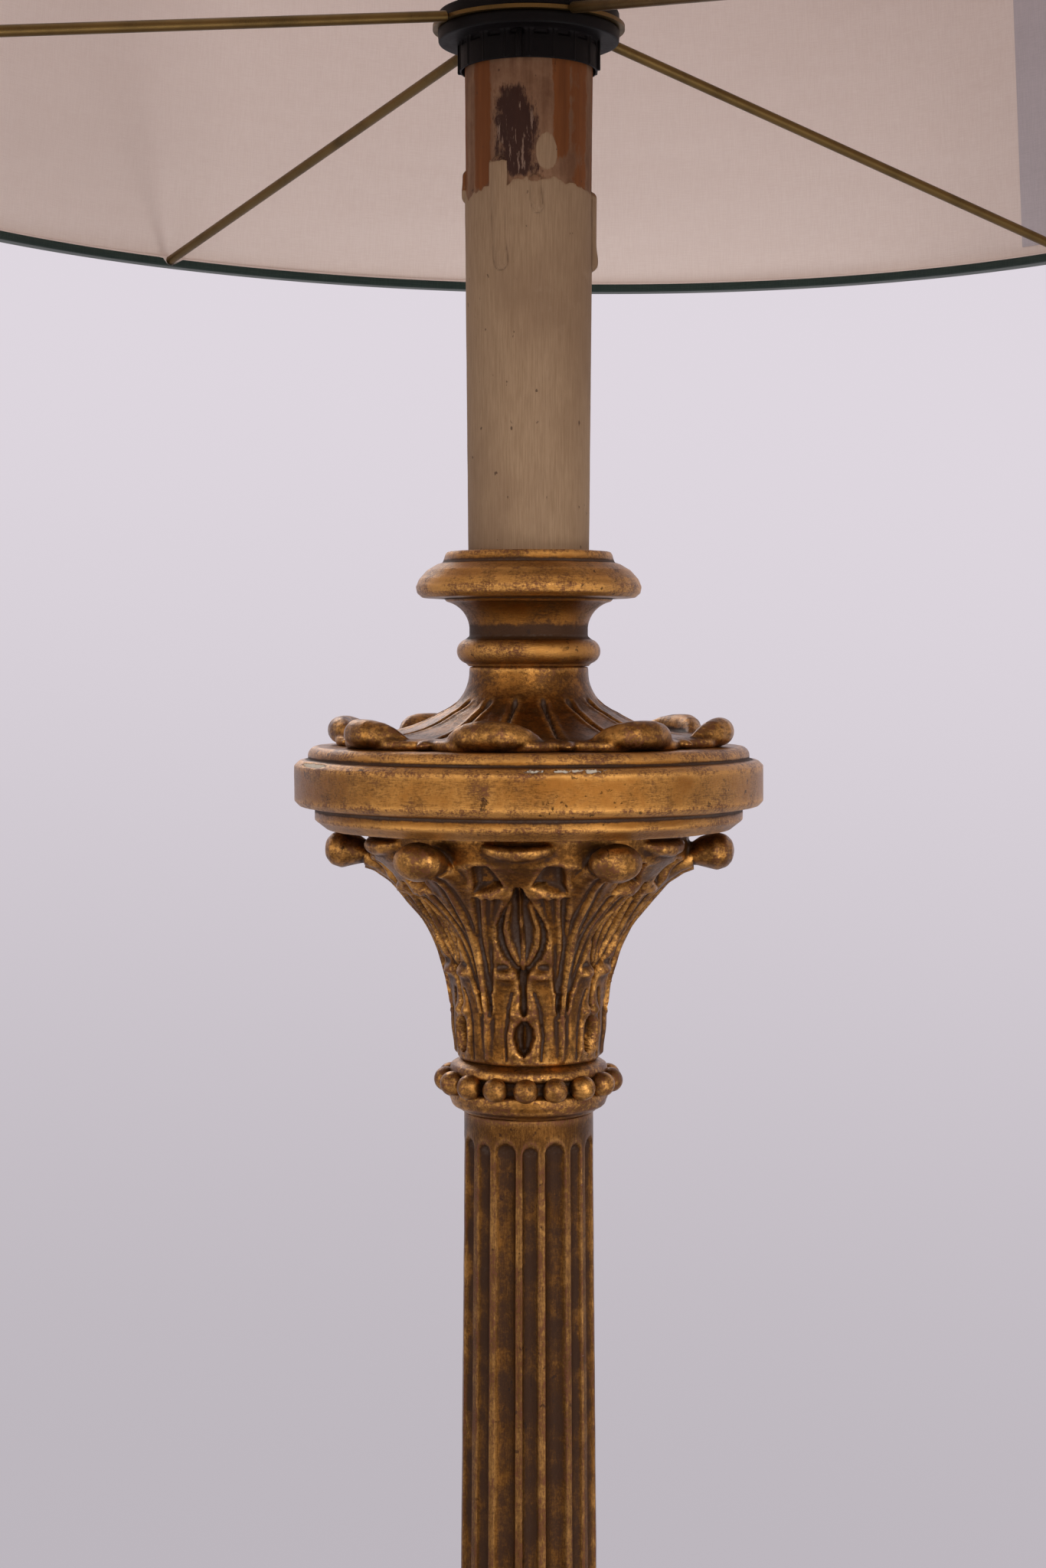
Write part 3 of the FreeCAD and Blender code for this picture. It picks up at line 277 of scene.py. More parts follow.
@dataclass(frozen=True)
class CandlePaint:
    """Thin greige paint over upright grain, with wax runs, a rusty stain and a worn dark patch."""

    name: str = "candle_paint"

    def make(self) -> bpy.types.Material:
        """The material."""
        made, g = new_material(self.name)
        wax, rust, scorch = g.worn("wax"), g.worn("rust"), g.worn("scorch")
        relief = g.worn("relief")
        grain = g.noise(3300, 3, (1, 1, 0.03), seed=4.4, rough=0.7)
        streak = g.noise(260, 5, (1, 1, 0.07), seed=6.1, rough=0.6)
        fine = g.noise(1500, 4, (1, 1, 0.3), seed=2.2, rough=0.7)
        patch = g.noise(110, 5, seed=7.5, rough=0.62)
        broad = g.noise(30, 4, (1, 1, 0.6), seed=1.1, rough=0.6)
        colour = g.mix(g.between(grain, 0.30, 0.68), (0.205, 0.126, 0.070), (0.272, 0.176, 0.104))
        colour = g.mix(g.between(broad, 0.40, 0.66) * 0.6, colour, (0.165, 0.096, 0.054))
        colour = g.mix(g.between(patch * 0.5 + broad * 0.6, 0.62, 0.8) * 0.4, colour, (0.36, 0.25, 0.165))
        pale = g.between(wax + (patch - 0.5) * 1.3 + (fine - 0.5) * 1.0, 0.30, 0.66)
        bared = 1.0 - pale
        streaky = g.between(streak * 0.7 + patch * 0.6, 0.45, 0.9)
        stained = g.mix(streaky, (0.105, 0.046, 0.022), (0.230, 0.125, 0.070))
        colour = g.mix(bared, colour, stained)
        red = rust + (streak - 0.5) * 1.3 + (patch - 0.5) * 1.8 + (fine - 0.5) * 0.6
        rusty = g.between(red, 0.22, 0.60) * bared
        colour = g.mix(rusty * 0.95, colour, g.mix(streak, (0.062, 0.018, 0.005), (0.200, 0.062, 0.014)))
        black = scorch + (streak - 0.5) * 1.3 + (patch - 0.5) * 1.3 + (fine - 0.5) * 0.9
        dark = g.between(black, 0.26, 0.66) * bared
        colour = g.mix(dark * 0.95, colour, (0.026, 0.009, 0.006))
        scraped = g.between(g.noise(700, 4, (1, 1, 0.16), seed=3.9, rough=0.7), 0.57, 0.64) * dark
        colour = g.mix(scraped * 0.6, colour, (0.26, 0.165, 0.115))
        # darker in the hollows beside the wax runs and in the small dips of the surface
        hollow_darkening = g.between(relief + (patch - 0.5) * 0.8, 0.25, 0.8)
        colour = g.mix(hollow_darkening * 0.6, colour, (0.075, 0.040, 0.022))
        speck = g.between(g.noise(330, 2, (1, 1, 0.6), seed=5.5), 0.71, 0.74)
        colour = g.mix(speck * 0.8, colour, (0.05, 0.025, 0.014))
        height = grain * 0.5 + fine * 0.4 + patch * 0.6 * bared
        g.surface(
            Base_Color=colour, Roughness=0.58 + fine * 0.12 - dark * 0.08, Normal=g.bump(height, 0.08),
            Specular_IOR_Level=0.12)
        return made


@dataclass(frozen=True)
class Cloth:
    """Plain woven cloth, whose threads follow the piece's UV map in metres."""

    name: str
    colour: Colour
    thread: Colour
    pitch: float = 0.55
    rough: float = 0.85
    sheen: float = 0.25

    def make(self) -> bpy.types.Material:
        """The material."""
        made, g = new_material(self.name)
        per_metre = 1000 / self.pitch
        weft = g.noise(per_metre, 2, (0.05, 1, 1), seed=1.5, source="UV")
        warp = g.noise(per_metre, 2, (1, 0.05, 1), seed=2.5, source="UV")
        slub = g.noise(22, 4, (1, 6, 1), seed=4.2, source="UV")
        broad = g.noise(4, 3, seed=6.0)
        woven = weft * 0.5 + warp * 0.5
        colour = g.mix(g.between(woven + slub * 0.25, 0.45, 0.8), self.colour, self.thread)
        colour = g.mix(g.between(broad, 0.35, 0.7) * 0.35, colour, self.thread)
        g.surface(
            Base_Color=colour, Roughness=self.rough, Sheen_Weight=self.sheen, Sheen_Roughness=0.5,
            Specular_IOR_Level=0.2, Normal=g.bump(woven, 0.12))
        return made


@dataclass(frozen=True)
class Hard:
    """A plain hard finish: metal, moulding, ceramic or glass, with fine scratches and dirt."""

    name: str
    colour: Colour
    aged: Colour
    metal: float = 0.0
    rough: float = 0.4
    grain: Strokes = Strokes.LOOSE
    scale: float = 400.0
    depth: float = 0.03
    specular: float = 0.5

    def make(self) -> bpy.types.Material:
        """The material."""
        made, g = new_material(self.name)
        patch = g.noise(self.scale * 0.12, 5, seed=2.7, rough=0.6)
        fine = g.noise(self.scale * 2, 5, self.grain.value, seed=7.3, rough=0.65)
        relief = g.worn("relief")
        old = g.between(patch * 0.8 + fine * 0.4 + relief * 0.5, 0.5, 0.86)
        g.surface(
            Base_Color=g.mix(old, self.colour, self.aged), Metallic=self.metal,
            Specular_IOR_Level=self.specular, Roughness=self.rough + old * 0.12 + fine * 0.08,
            Normal=g.bump(fine + patch * 0.5, self.depth))
        return made


@dataclass(frozen=True)
class Wood:
    """Plain or stained wood with its grain along Z."""

    name: str
    light: Colour
    dark: Colour

    def make(self) -> bpy.types.Material:
        """The material."""
        made, g = new_material(self.name)
        grain = g.noise(260, 5, (1, 1, 0.07), seed=3.3, rough=0.6)
        rings = g.noise(45, 3, (1, 1, 0.2), seed=8.1)
        mask = g.between(grain * 0.7 + rings * 0.6, 0.45, 0.9)
        g.surface(Base_Color=g.mix(mask, self.light, self.dark), Roughness=0.62 + grain * 0.1,
                  Normal=g.bump(grain, 0.08))
        return made


class Finishes:
    """Every finish of the lamp, made once."""

    def __init__(self) -> None:
        """Makes the materials."""
        made = [
            Gilding("bright_gilding", strokes=Strokes.ROUND, patina=-0.03),
            Gilding("carved_gilding", patina=0.06, dusty=0.05),
            Gilding("shaft_gilding", leaf=(0.165, 0.070, 0.015), rubbed_and_highlight=(0.31, 0.155, 0.045),
                    strokes=Strokes.UPRIGHT, patina=0.08, flecks=0.03),
            Gilding("base_gilding", leaf=(0.20, 0.092, 0.022), strokes=Strokes.ROUND, patina=0.04,
                    dusty=0.04),
            CandlePaint(),
            Cloth("shade_green_cloth", (0.012, 0.030, 0.022), (0.024, 0.052, 0.038)),
            Cloth("shade_lining_cloth", (0.80, 0.665, 0.60), (0.86, 0.735, 0.67), 0.30, 0.9, 0.1),
            Cloth("edge_cloth", (0.010, 0.020, 0.016), (0.022, 0.036, 0.028), 0.5),
            Cloth("seam_cloth", (0.50, 0.45, 0.47), (0.57, 0.51, 0.53), 0.30, 0.9, 0.1),
            Hard("black_moulding", (0.0035, 0.0025, 0.0025), (0.009, 0.007, 0.007), 0.0, 0.46,
                 specular=0.10),
            Hard("brassed_wire", (0.175, 0.108, 0.036), (0.085, 0.055, 0.022), 1.0, 0.36, Strokes.UPRIGHT),
            Hard("zinc_plate", (0.58, 0.60, 0.61), (0.40, 0.41, 0.42), 1.0, 0.36),
            Hard("cast_iron", (0.035, 0.034, 0.034), (0.075, 0.05, 0.038), 0.6, 0.6, scale=900, depth=0.15),
            Hard("contact_brass", (0.80, 0.58, 0.26), (0.52, 0.36, 0.16), 1.0, 0.28),
            Hard("glazed_ceramic", (0.80, 0.78, 0.73), (0.70, 0.67, 0.61), 0.0, 0.22),
            Hard("nickel_cap", (0.66, 0.64, 0.60), (0.48, 0.46, 0.43), 1.0, 0.27, Strokes.ROUND),
            Hard("opal_glass", (0.86, 0.85, 0.82), (0.80, 0.79, 0.76), 0.0, 0.24, scale=60, depth=0.01),
            Hard("black_glass", (0.01, 0.012, 0.02), (0.02, 0.02, 0.03), 0.0, 0.12),
            Wood("plain_beech", (0.46, 0.30, 0.17), (0.33, 0.20, 0.11)),
            Cloth("felt", (0.028, 0.060, 0.034), (0.045, 0.085, 0.052), 0.9, 0.95),
        ]
        self.by_name = {finish.name: finish.make() for finish in made}

    def __getitem__(self, name: str) -> bpy.types.Material:
        """The material of that name."""
        return self.by_name[name]


# ------------------------------------------------------------------ shaping


def choose(*pieces: bpy.types.Object) -> None:
    """Selects these pieces alone and makes the first of them active, or nothing without any."""
    for each in bpy.context.selected_objects:
        each.select_set(False)
    for piece in pieces:
        piece.select_set(True)
    bpy.context.view_layer.objects.active = pieces[0] if pieces else None


@contextmanager
def editing(piece: bpy.types.Object) -> Iterator[None]:
    """Edit mode on one piece, with all of it selected."""
    choose(piece)
    bpy.ops.object.mode_set(mode="EDIT")
    bpy.ops.mesh.select_all(action="SELECT")
    yield
    bpy.ops.object.mode_set(mode="OBJECT")
    choose()


def applied(piece: bpy.types.Object) -> bpy.types.Object:
    """The piece, with all its modifiers applied."""
    choose(piece)
    for modifier in list(piece.modifiers):
        bpy.ops.object.modifier_apply(modifier=modifier.name)
    choose()
    return piece


def added(name: str, data: bpy.types.ID) -> bpy.types.Object:
    """A new object of the scene."""
    made = bpy.data.objects.new(name, data)
    bpy.context.scene.collection.objects.link(made)
    return made


def new_piece(name: str, points: np.ndarray, edges: list, faces: list) -> bpy.types.Object:
    """An object from points in millimetres."""
    data = bpy.data.meshes.new(name)
    data.from_pydata((np.asarray(points, float) * MM).tolist(), edges, faces)
    return added(name, data)


def numbers(
    items: bpy.types.bpy_prop_collection, what: str, wide: int = 1, kind: type = float,
) -> np.ndarray:
    """What each item of a mesh holds under that name, in rows where it is wide."""
    flat = np.zeros(len(items) * wide, kind)
    items.foreach_get(what, flat)
    return flat.reshape(-1, wide) if wide > 1 else flat


def read_points(piece: bpy.types.Object, what: str = "co") -> np.ndarray:
    """The vertices in millimetres, or their normals where what is "normal"."""
    return numbers(piece.data.vertices, what, 3) / (MM if what == "co" else 1.0)


def write_points(piece: bpy.types.Object, points: np.ndarray) -> None:
    """Moves the vertices to points in millimetres."""
    piece.data.vertices.foreach_set("co", (points * MM).ravel())
    piece.data.update()


def outward(piece: bpy.types.Object) -> bpy.types.Object:
    """The closed piece, with its faces turned outwards."""
    mesh = piece.data
    mesh.calc_loop_triangles()
    corners = numbers(mesh.loop_triangles, "vertices", 3, np.int32)
    a, b, c = (read_points(piece)[corners[:, i]] for i in range(3))
    if (a * np.cross(b, c)).sum() < 0:
        mesh.flip_normals()
    return piece


def write_layer(piece: bpy.types.Object, name: str, values: np.ndarray) -> None:
    """Keeps a number for each vertex."""
    layer = piece.data.attributes.new(name, "FLOAT", "POINT")
    layer.data.foreach_set("value", np.asarray(values, np.float32))


def bowed(start: np.ndarray, end: np.ndarray, roundness: float) -> np.ndarray:
    """Points every tenth of a millimetre from start up to end, on a line or an arc.

    Args:
        start: (radius, height).
        end: (radius, height).
        roundness: the arc's radius by its chord, positive where it bulges to the right, 0 for a line.

    Returns:
        The points, without the end.
    """
    chord = end - start
    length = float(np.hypot(*chord))
    count = max(2, int(length * 10))
    share = np.arange(count) / count
    if not roundness:
        return start + share[:, None] * chord
    radius, side = abs(roundness) * length, math.copysign(1, roundness)
    normal = np.array((-chord[1], chord[0])) / length
    centre = (start + end) / 2 + normal * side * math.sqrt(max(radius**2 - length**2 / 4, 0))
    first, last = (math.atan2(*(p - centre)[::-1]) for p in (start, end))
    sweep = (last - first + math.pi) % math.tau - math.pi
    angle = first + share * sweep
    return centre + radius * np.stack((np.cos(angle), np.sin(angle)), 1)


def finer_outside(limit: float, fine: float, coarse: float) -> Spacing:
    """A spacing that is fine where the radius is over the limit, and coarse elsewhere."""
    return lambda points: np.where(points[:, 0] > limit, fine, coarse)


def sampled(corners: Corners, spacing: Spacing | float, soften: float) -> np.ndarray:
    """A closed outline as evenly spaced points with its corners rounded off.

    Args:
        corners: (radius, height) or (radius, height, roundness of what leaves it).
        spacing: the distance between points, or a function that gives it for the points.
        soften: how far the rounding reaches.

    Returns:
        The points as (radius, height) rows.
    """
    ends = [np.array(corner[:2], float) for corner in corners]
    rounds = [corner[2] if len(corner) > 2 else 0 for corner in corners]
    dense = np.concatenate([
        bowed(ends[i], ends[(i + 1) % len(ends)], rounds[i]) for i in range(len(ends))])
    if soften:
        reach = np.arange(-int(soften * 30), int(soften * 30) + 1)
        weights = np.exp(-(reach / (soften * 10)) ** 2)
        wrapped = np.concatenate((dense[reach[0]:], dense, dense[:reach[-1]]))
        smooth = np.stack([np.convolve(wrapped[:, i], weights / weights.sum(), "valid") for i in (0, 1)], 1)
        dense = np.where(dense[:, :1] > 0.01, smooth, dense)
    pace = spacing(dense) if callable(spacing) else np.full(len(dense), spacing)
    step = np.hypot(*(np.roll(dense, -1, 0) - dense).T) / pace
    way = np.concatenate(((0,), np.cumsum(step)))
    stops = np.linspace(0, way[-1], max(8, round(way[-1])), endpoint=False)
    looped = np.vstack((dense, dense[:1]))
    return np.stack([np.interp(stops, way, looped[:, i]) for i in (0, 1)], 1)


def turned(
    name: str, corners: Corners, seat: float = 0.0, steps: int = 256,
    spacing: Spacing | float = 1.0, soften: float = 0.3,
) -> bpy.types.Object:
    """A piece turned on the lathe: its outline spun round Z.

    Args:
        name: the piece's name.
        corners: its closed outline.
        seat: the height that the outline stands at.
        steps: faces round it.
        spacing: distance between rows of faces.
        soften: how far edges are rounded off.

    Returns:
        The piece.
    """
    points = sampled(corners, spacing, soften)
    count = len(points)
    rows = np.stack((points[:, 0], np.zeros(count), points[:, 1] + seat), 1)
    made = new_piece(name, rows, [(i, (i + 1) % count) for i in range(count)], [])
    lathe = made.modifiers.new("lathe", "SCREW")
    lathe.steps = lathe.render_steps = steps
    lathe.use_merge_vertices = True
    lathe.merge_threshold = 2e-6
    return outward(applied(made))


def loft(name: str, rings: Sequence[tuple[Sequence[float], ...]], sides: int = 24) -> bpy.types.Object:
    """A closed solid through oval rings.

    Args:
        name: the piece's name.
        rings: for each, its middle and the two half axes as vectors.
        sides: faces round it.

    Returns:
        The piece.
    """
    turn = np.linspace(0, math.tau, sides, endpoint=False)
    rows = [
        np.array(middle) + np.outer(np.cos(turn), across) + np.outer(np.sin(turn), up)
        for middle, across, up in rings
    ]
    points = np.vstack([*rows, rings[0][0], rings[-1][0]])
    faces = [
        (i * sides + j, i * sides + (j + 1) % sides, (i + 1) * sides + (j + 1) % sides, (i + 1) * sides + j)
        for i in range(len(rings) - 1) for j in range(sides)
    ]
    first, last = len(points) - 2, len(points) - 1
    top = (len(rings) - 1) * sides
    faces += [((j + 1) % sides, j, first) for j in range(sides)]
    faces += [(top + j, top + (j + 1) % sides, last) for j in range(sides)]
    made = new_piece(name, points, [], faces)
    with editing(made):
        bpy.ops.mesh.normals_make_consistent(inside=False)
    return made


def bent_loft(name: str, stations: Corners, turn: float = 0.0, sides: int = 24) -> bpy.types.Object:
    """A loft along a path in the upright plane through the axis, turned round it.

    Args:
        name: the piece's name.
        stations: (radius, height, half width, half thickness) along the path.
        turn: degrees round Z.
        sides: faces round it.

    Returns:
        The piece.
    """
    path = np.array(stations, float)
    along = np.gradient(path[:, :2], axis=0)
    along /= np.linalg.norm(along, axis=1)[:, None]
    rings = [
        ((r, 0, z), (0, wide, 0), (-dz * thick, 0, dr * thick))
        for (r, z, wide, thick), (dr, dz) in zip(path, along)
    ]
    made = loft(name, rings, sides)
    write_points(made, spun_points(read_points(made), turn))
    return made


def lip_loft(name: str, stations: Corners, turn: float = 0.0, sides: int = 20) -> bpy.types.Object:
    """A loft across the radius, for a rolled lip: its stations are mirrored.

    Args:
        name: the piece's name.
        stations: (distance aside, radius, height, half depth, half height) from the middle outwards.
        turn: degrees round Z.
        sides: faces round it.

    Returns:
        The piece.
    """
    both = [(-s[0], *s[1:]) for s in reversed(stations[1:])] + list(stations)
    rings = [((r, aside, z), (deep, 0, 0), (0, 0, high)) for aside, r, z, deep, high in both]
    made = loft(name, rings, sides)
    write_points(made, spun_points(read_points(made), turn))
    return made


def spun_points(points: np.ndarray, turn: float) -> np.ndarray:
    """Points turned by that many degrees round Z."""
    c, s = math.cos(math.radians(turn)), math.sin(math.radians(turn))
    return points @ np.array(((c, s, 0), (-s, c, 0), (0, 0, 1)))


def lifted(piece: bpy.types.Object, height: float) -> bpy.types.Object:
    """The piece, raised by that height."""
    write_points(piece, read_points(piece) + (0, 0, height))
    return piece


def joined(name: str, parts: Sequence[bpy.types.Object]) -> bpy.types.Object:
    """One object from several."""
    choose(*parts)
    bpy.ops.object.join()
    choose()
    parts[0].name = parts[0].data.name = name
    return parts[0]


def fused(name: str, parts: Sequence[bpy.types.Object], voxel: float, smooth: int = 2) -> bpy.types.Object:
    """One skin round several closed parts, as if they were carved from one block.

    Args:
        name: the new piece's name.
        parts: the parts, which overlap.
        voxel: the size of the skin's faces.
        smooth: how often the skin is smoothed.

    Returns:
        The piece.
    """
    whole = joined(name, parts)
    grid = whole.modifiers.new("skin", "REMESH")
    grid.mode = "VOXEL"
    grid.voxel_size = voxel * MM
    grid.adaptivity = 0
    ease = whole.modifiers.new("ease", "SMOOTH")
    ease.iterations = smooth
    ease.factor = 0.5
    return applied(whole)


def bead(place: Sequence[float], radius: float, rng: np.random.Generator) -> bpy.types.Object:
    """A carved bead, a little uneven.

    Args:
        place: its middle in millimetres.
        radius: its radius.
        rng: the source of the unevenness.

    Returns:
        The bead.
    """
    choose()
    bpy.ops.mesh.primitive_uv_sphere_add(segments=28, ring_count=18, radius=radius * MM)
    made = bpy.context.active_object
    points = read_points(made)
    unit = points / radius
    tilt = rng.normal(0, 1, (3, 3))
    points *= 1 + 0.035 * np.sin(unit @ tilt * 1.6 + rng.uniform(0, 6, 3)).sum(1)[:, None] / 3
    write_points(made, points * (1, 1, 0.985) + np.array(place))
    return made


LATTICE = np.random.default_rng(20).random((32, 32, 32))


def grain(points: np.ndarray, size: float, seed: int = 0) -> np.ndarray:
    """Smooth noise from -1 to 1.

    Args:
        points: the places.
        size: the distance over which it changes.
        seed: moves the pattern.

    Returns:
        A number for each place.
    """
    here = points / size + np.array((seed * 3.7, seed * 5.3, seed * 1.9)) + 100
    cell = np.floor(here).astype(int)
    share = here - cell
    share = share * share * (3 - 2 * share)
    total = np.zeros(len(points))
    for corner in np.ndindex(2, 2, 2):
        weight = np.prod(np.where(corner, share, 1 - share), 1)
        total += weight * LATTICE[tuple(((cell + corner) % 32).T)]
    return total * 2 - 1


def rise(value: np.ndarray, low: float, high: float) -> np.ndarray:
    """0 below low and 1 above high, smooth in between."""
    share = np.clip((value - low) / (high - low), 0, 1)
    return share * share * (3 - 2 * share)


def peak(away: np.ndarray, half_width: float | np.ndarray) -> np.ndarray:
    """A smooth ridge of height 1 at 0, with that half width."""
    return np.exp(-(away / half_width) ** 2)


def dome(away: np.ndarray, radius: float) -> np.ndarray:
    """A round ridge of height 1 at 0, which ends at that radius."""
    return np.sqrt(np.clip(1 - (away / radius) ** 2, 0, 1))


def mound(across: np.ndarray, up: np.ndarray, half_width: float, half_height: float) -> np.ndarray:
    """A smooth bump of height 1 with those half axes."""
    return np.exp(-(across / half_width) ** 2 - (up / half_height) ** 2)


def line_distance(across: np.ndarray, up: np.ndarray, path: Sequence[tuple[float, float]]) -> np.ndarray:
    """The distance of each place from a path of straight runs."""
    nearest = np.full(len(across), 1e9)
    for (a0, z0), (a1, z1) in zip(path, path[1:]):
        da, dz = a1 - a0, z1 - z0
        share = np.clip(((across - a0) * da + (up - z0) * dz) / (da * da + dz * dz + 1e-9), 0, 1)
        nearest = np.minimum(nearest, np.hypot(across - a0 - share * da, up - z0 - share * dz))
    return nearest


def carve(piece: bpy.types.Object, amount: np.ndarray) -> None:
    """Moves each vertex along its normal by that many millimetres."""
    write_points(piece, read_points(piece) + read_points(piece, "normal") * amount[:, None])


def push_out(piece: bpy.types.Object, amount: np.ndarray) -> None:
    """Moves each vertex away from Z by that many millimetres."""
    points = read_points(piece)
    radius = np.maximum(np.hypot(points[:, 0], points[:, 1]), 1e-6)
    points[:, :2] *= (1 + amount / radius)[:, None]
    write_points(piece, points)


def weathered(
    piece: bpy.types.Object, uneven: float = 0.12, seed: int = 1, reach: float = 0.32,
) -> bpy.types.Object:
    """Makes a hand-made surface, and keeps what lies high and low in the layer "relief".

    Args:
        piece: the piece.
        uneven: how far the surface waves, in millimetres.
        seed: moves the pattern.
        reach: the height that counts as fully high or low.

    Returns:
        The piece.
    """
    points = read_points(piece)
    if uneven:
        carve(piece, uneven * (grain(points, 9, seed) * 0.7 + grain(points, 3.1, seed + 1) * 0.3))
        points = read_points(piece)
    normals = read_points(piece, "normal")
    a, b = numbers(piece.data.edges, "vertices", 2, int).T
    count = len(points)
    share = np.maximum(np.bincount(a, minlength=count) + np.bincount(b, minlength=count), 1)
    soft, found = points.copy(), np.zeros(count)
    for turn in range(36):
        total = np.stack([
            np.bincount(a, soft[b, i], count) + np.bincount(b, soft[a, i], count) for i in range(3)], 1)
        soft = 0.5 * soft + 0.5 * total / share[:, None]
        if turn in (5, 35):
            found += ((soft - points) * normals).sum(1) * (1.0 if turn == 5 else 0.45)
    write_layer(piece, "relief", np.clip(found / reach, -1, 1))
    return piece


def unwrap_round(piece: bpy.types.Object, radius: float) -> None:
    """Gives a piece round Z a UV map in metres: the way round at that radius, and the height."""
    x, y, z = read_points(piece)[numbers(piece.data.loops, "vertex_index", kind=int)].T
    starts, totals = (numbers(piece.data.polygons, what, kind=int) for what in ("loop_start", "loop_total"))
    angle = np.arctan2(y, x)
    first = np.repeat(angle[starts], totals)
    angle += np.where(angle - first > math.pi, -math.tau, 0)
    angle += np.where(angle - first < -math.pi, math.tau, 0)
    layer = piece.data.uv_layers.new(name="UVMap")
    layer.data.foreach_set("uv", np.stack((angle * radius * MM, z * MM), 1).ravel())


def dressed(
    piece: bpy.types.Object, finish: bpy.types.Material, body: str, slot: str,
    *nodes: str, smooth: float = 50.0,
) -> bpy.types.Object:
    """Ends a piece: its shading, material, body, slot and the nodes that it stands for.

    Args:
        piece: the piece.
        finish: its material.
        body: the body that it rides on.
        slot: the material slot of the record; not used.
        nodes: the model's nodes that it replaces.
        smooth: edges flatter than this many degrees are shaded smooth.

    Returns:
        The piece.
    """
    choose(piece)
    bpy.ops.object.shade_smooth_by_angle(angle=math.radians(smooth))
    choose()
    piece.data.materials.clear()
    piece.data.materials.append(finish)
    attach(piece, body)
    if nodes:
        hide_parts(*nodes)
    log.info("%s: %d faces", piece.name, len(piece.data.polygons))
    return piece


def gild(piece: bpy.types.Object, finish: bpy.types.Material, node: str, smooth: float = 50.0) -> None:
    """Dresses a giltwood piece of the stand, which replaces that node."""
    dressed(piece, finish, "stand", "giltwood", node, smooth=smooth)


def polar(points: np.ndarray) -> tuple[np.ndarray, np.ndarray, np.ndarray]:
    """The radius, angle in degrees and height of points."""
    x, y, z = points.T
    return np.hypot(x, y), np.degrees(np.arctan2(y, x)), z


def from_axis(angle: np.ndarray, first: float, pitch: float) -> np.ndarray:
    """How many degrees each angle is from the nearest of a ring of lines, with its sign."""
    return (angle - first + pitch / 2) % pitch - pitch / 2


# ------------------------------------------------------------------ the base


BORE = 5.5
TENON = 12.0
SOCKET = [(BORE, 6.2), (TENON + 0.2, 6.2), (TENON + 0.2, 0)]


def tenon(height: float) -> list[tuple[float, float]]:
    """The end of a turned outline: the tenon at that height, round the bore."""
    return [(TENON, height), (TENON, height + 6), (BORE, height + 6)]


@dataclass
class Base:
    """Bun feet, moulded plinth and the hollow step on it."""

    foot_seat: float = 2.0
    plinth_seat: float = 32.0
    step_seat: float = 84.0
    foot_circle: float = 126.0
    plinth_radius: float = 149.0
    band: float = 143.0
    rosettes: int = 24

    def feet(self) -> bpy.types.Object:
        """Four turned feet."""
        made = []
        for number in range(4):
            turn = math.radians(45 + 90 * number)
            foot = turned(f"foot_{number}", [
                (0, 0), (16, 0, 0.6), (24, 12.6, 0.65), (13, 23), (12, 24), (12, 30), (0, 30),
            ], self.foot_seat, 72, 1.0)
            x, y = self.foot_circle * math.cos(turn), self.foot_circle * math.sin(turn)
            write_points(foot, read_points(foot) + (x, y, 0))
            made.append(foot)
        return weathered(joined("turned_feet", made), 0.15, 3)

    def plinth(self) -> bpy.types.Object:
        """The plinth, with a carved row of rosettes and leaves round its band."""
        b, r = self.band, self.plinth_radius
        made = turned("moulded_plinth", [
            (BORE, 34), (100.5, 34), (100.5, 1.5), (110, 1.5), (110, 0), (r - 2, 0), (r, 1, 0.51), (r, 16),
            (b + 4, 16), (b + 4, 19), (b, 20), (b, 39), (b + 4, 40), (b + 4, 43, 0.75), (b - 6, 51),
            (b - 6, 52), *tenon(52),
        ], self.plinth_seat, 400, lambda p: np.where((p[:, 0] > 125) & (p[:, 1] < 51.5), 1.2, 6.0), 0.35)
        radius, angle, height = polar(read_points(made))
        aside = np.radians(from_axis(angle, 0, 360 / self.rosettes)) * radius
        up = height - self.plinth_seat - 29.5
        on_band = rise(radius, b - 3, b - 1) * (np.abs(up) < 9)
        petals = np.abs(np.cos(np.arctan2(up, aside) * 3))
        size = np.hypot(aside, up)
        rosette = (1 - rise(size, 4.5 + petals * 1.8, 6.4 + petals * 1.8)) * (0.5 + petals * 0.9)
        button = dome(size, 2.4) * 1.2
        leaf_side = np.abs(aside) - 12.5
        dart = np.clip(1 - (leaf_side / 4.0) ** 2 - (up / 8) ** 2, 0, 1) * 1.6
        vein = peak(leaf_side, 0.6) * 0.8 * (dart > 0.1)
        carve(made, on_band * (rosette + button + dart - vein))
        return weathered(made, 0.25, 5)

    def step(self) -> bpy.types.Object:
        """The scotia step under its top bead."""
        made = turned("scotia_step", [
            *SOCKET, (132, 0), (132, 6), (128, 6, -0.72), (100, 27), (103, 28, 0.52), (103, 36), *tenon(36),
        ], self.step_seat, 360, finer_outside(90, 1.1, 6.0), 0.35)
        return weathered(made, 0.22, 7)

    def build(self, finishes: Finishes) -> None:
        """Makes and dresses the base."""
        gilt = finishes["base_gilding"]
        gild(self.feet(), gilt, "bun_feet")
        gild(self.plinth(), gilt, "plinth")
        gild(self.step(), gilt, "plinth_step")


# ------------------------------------------------------------------ the standard


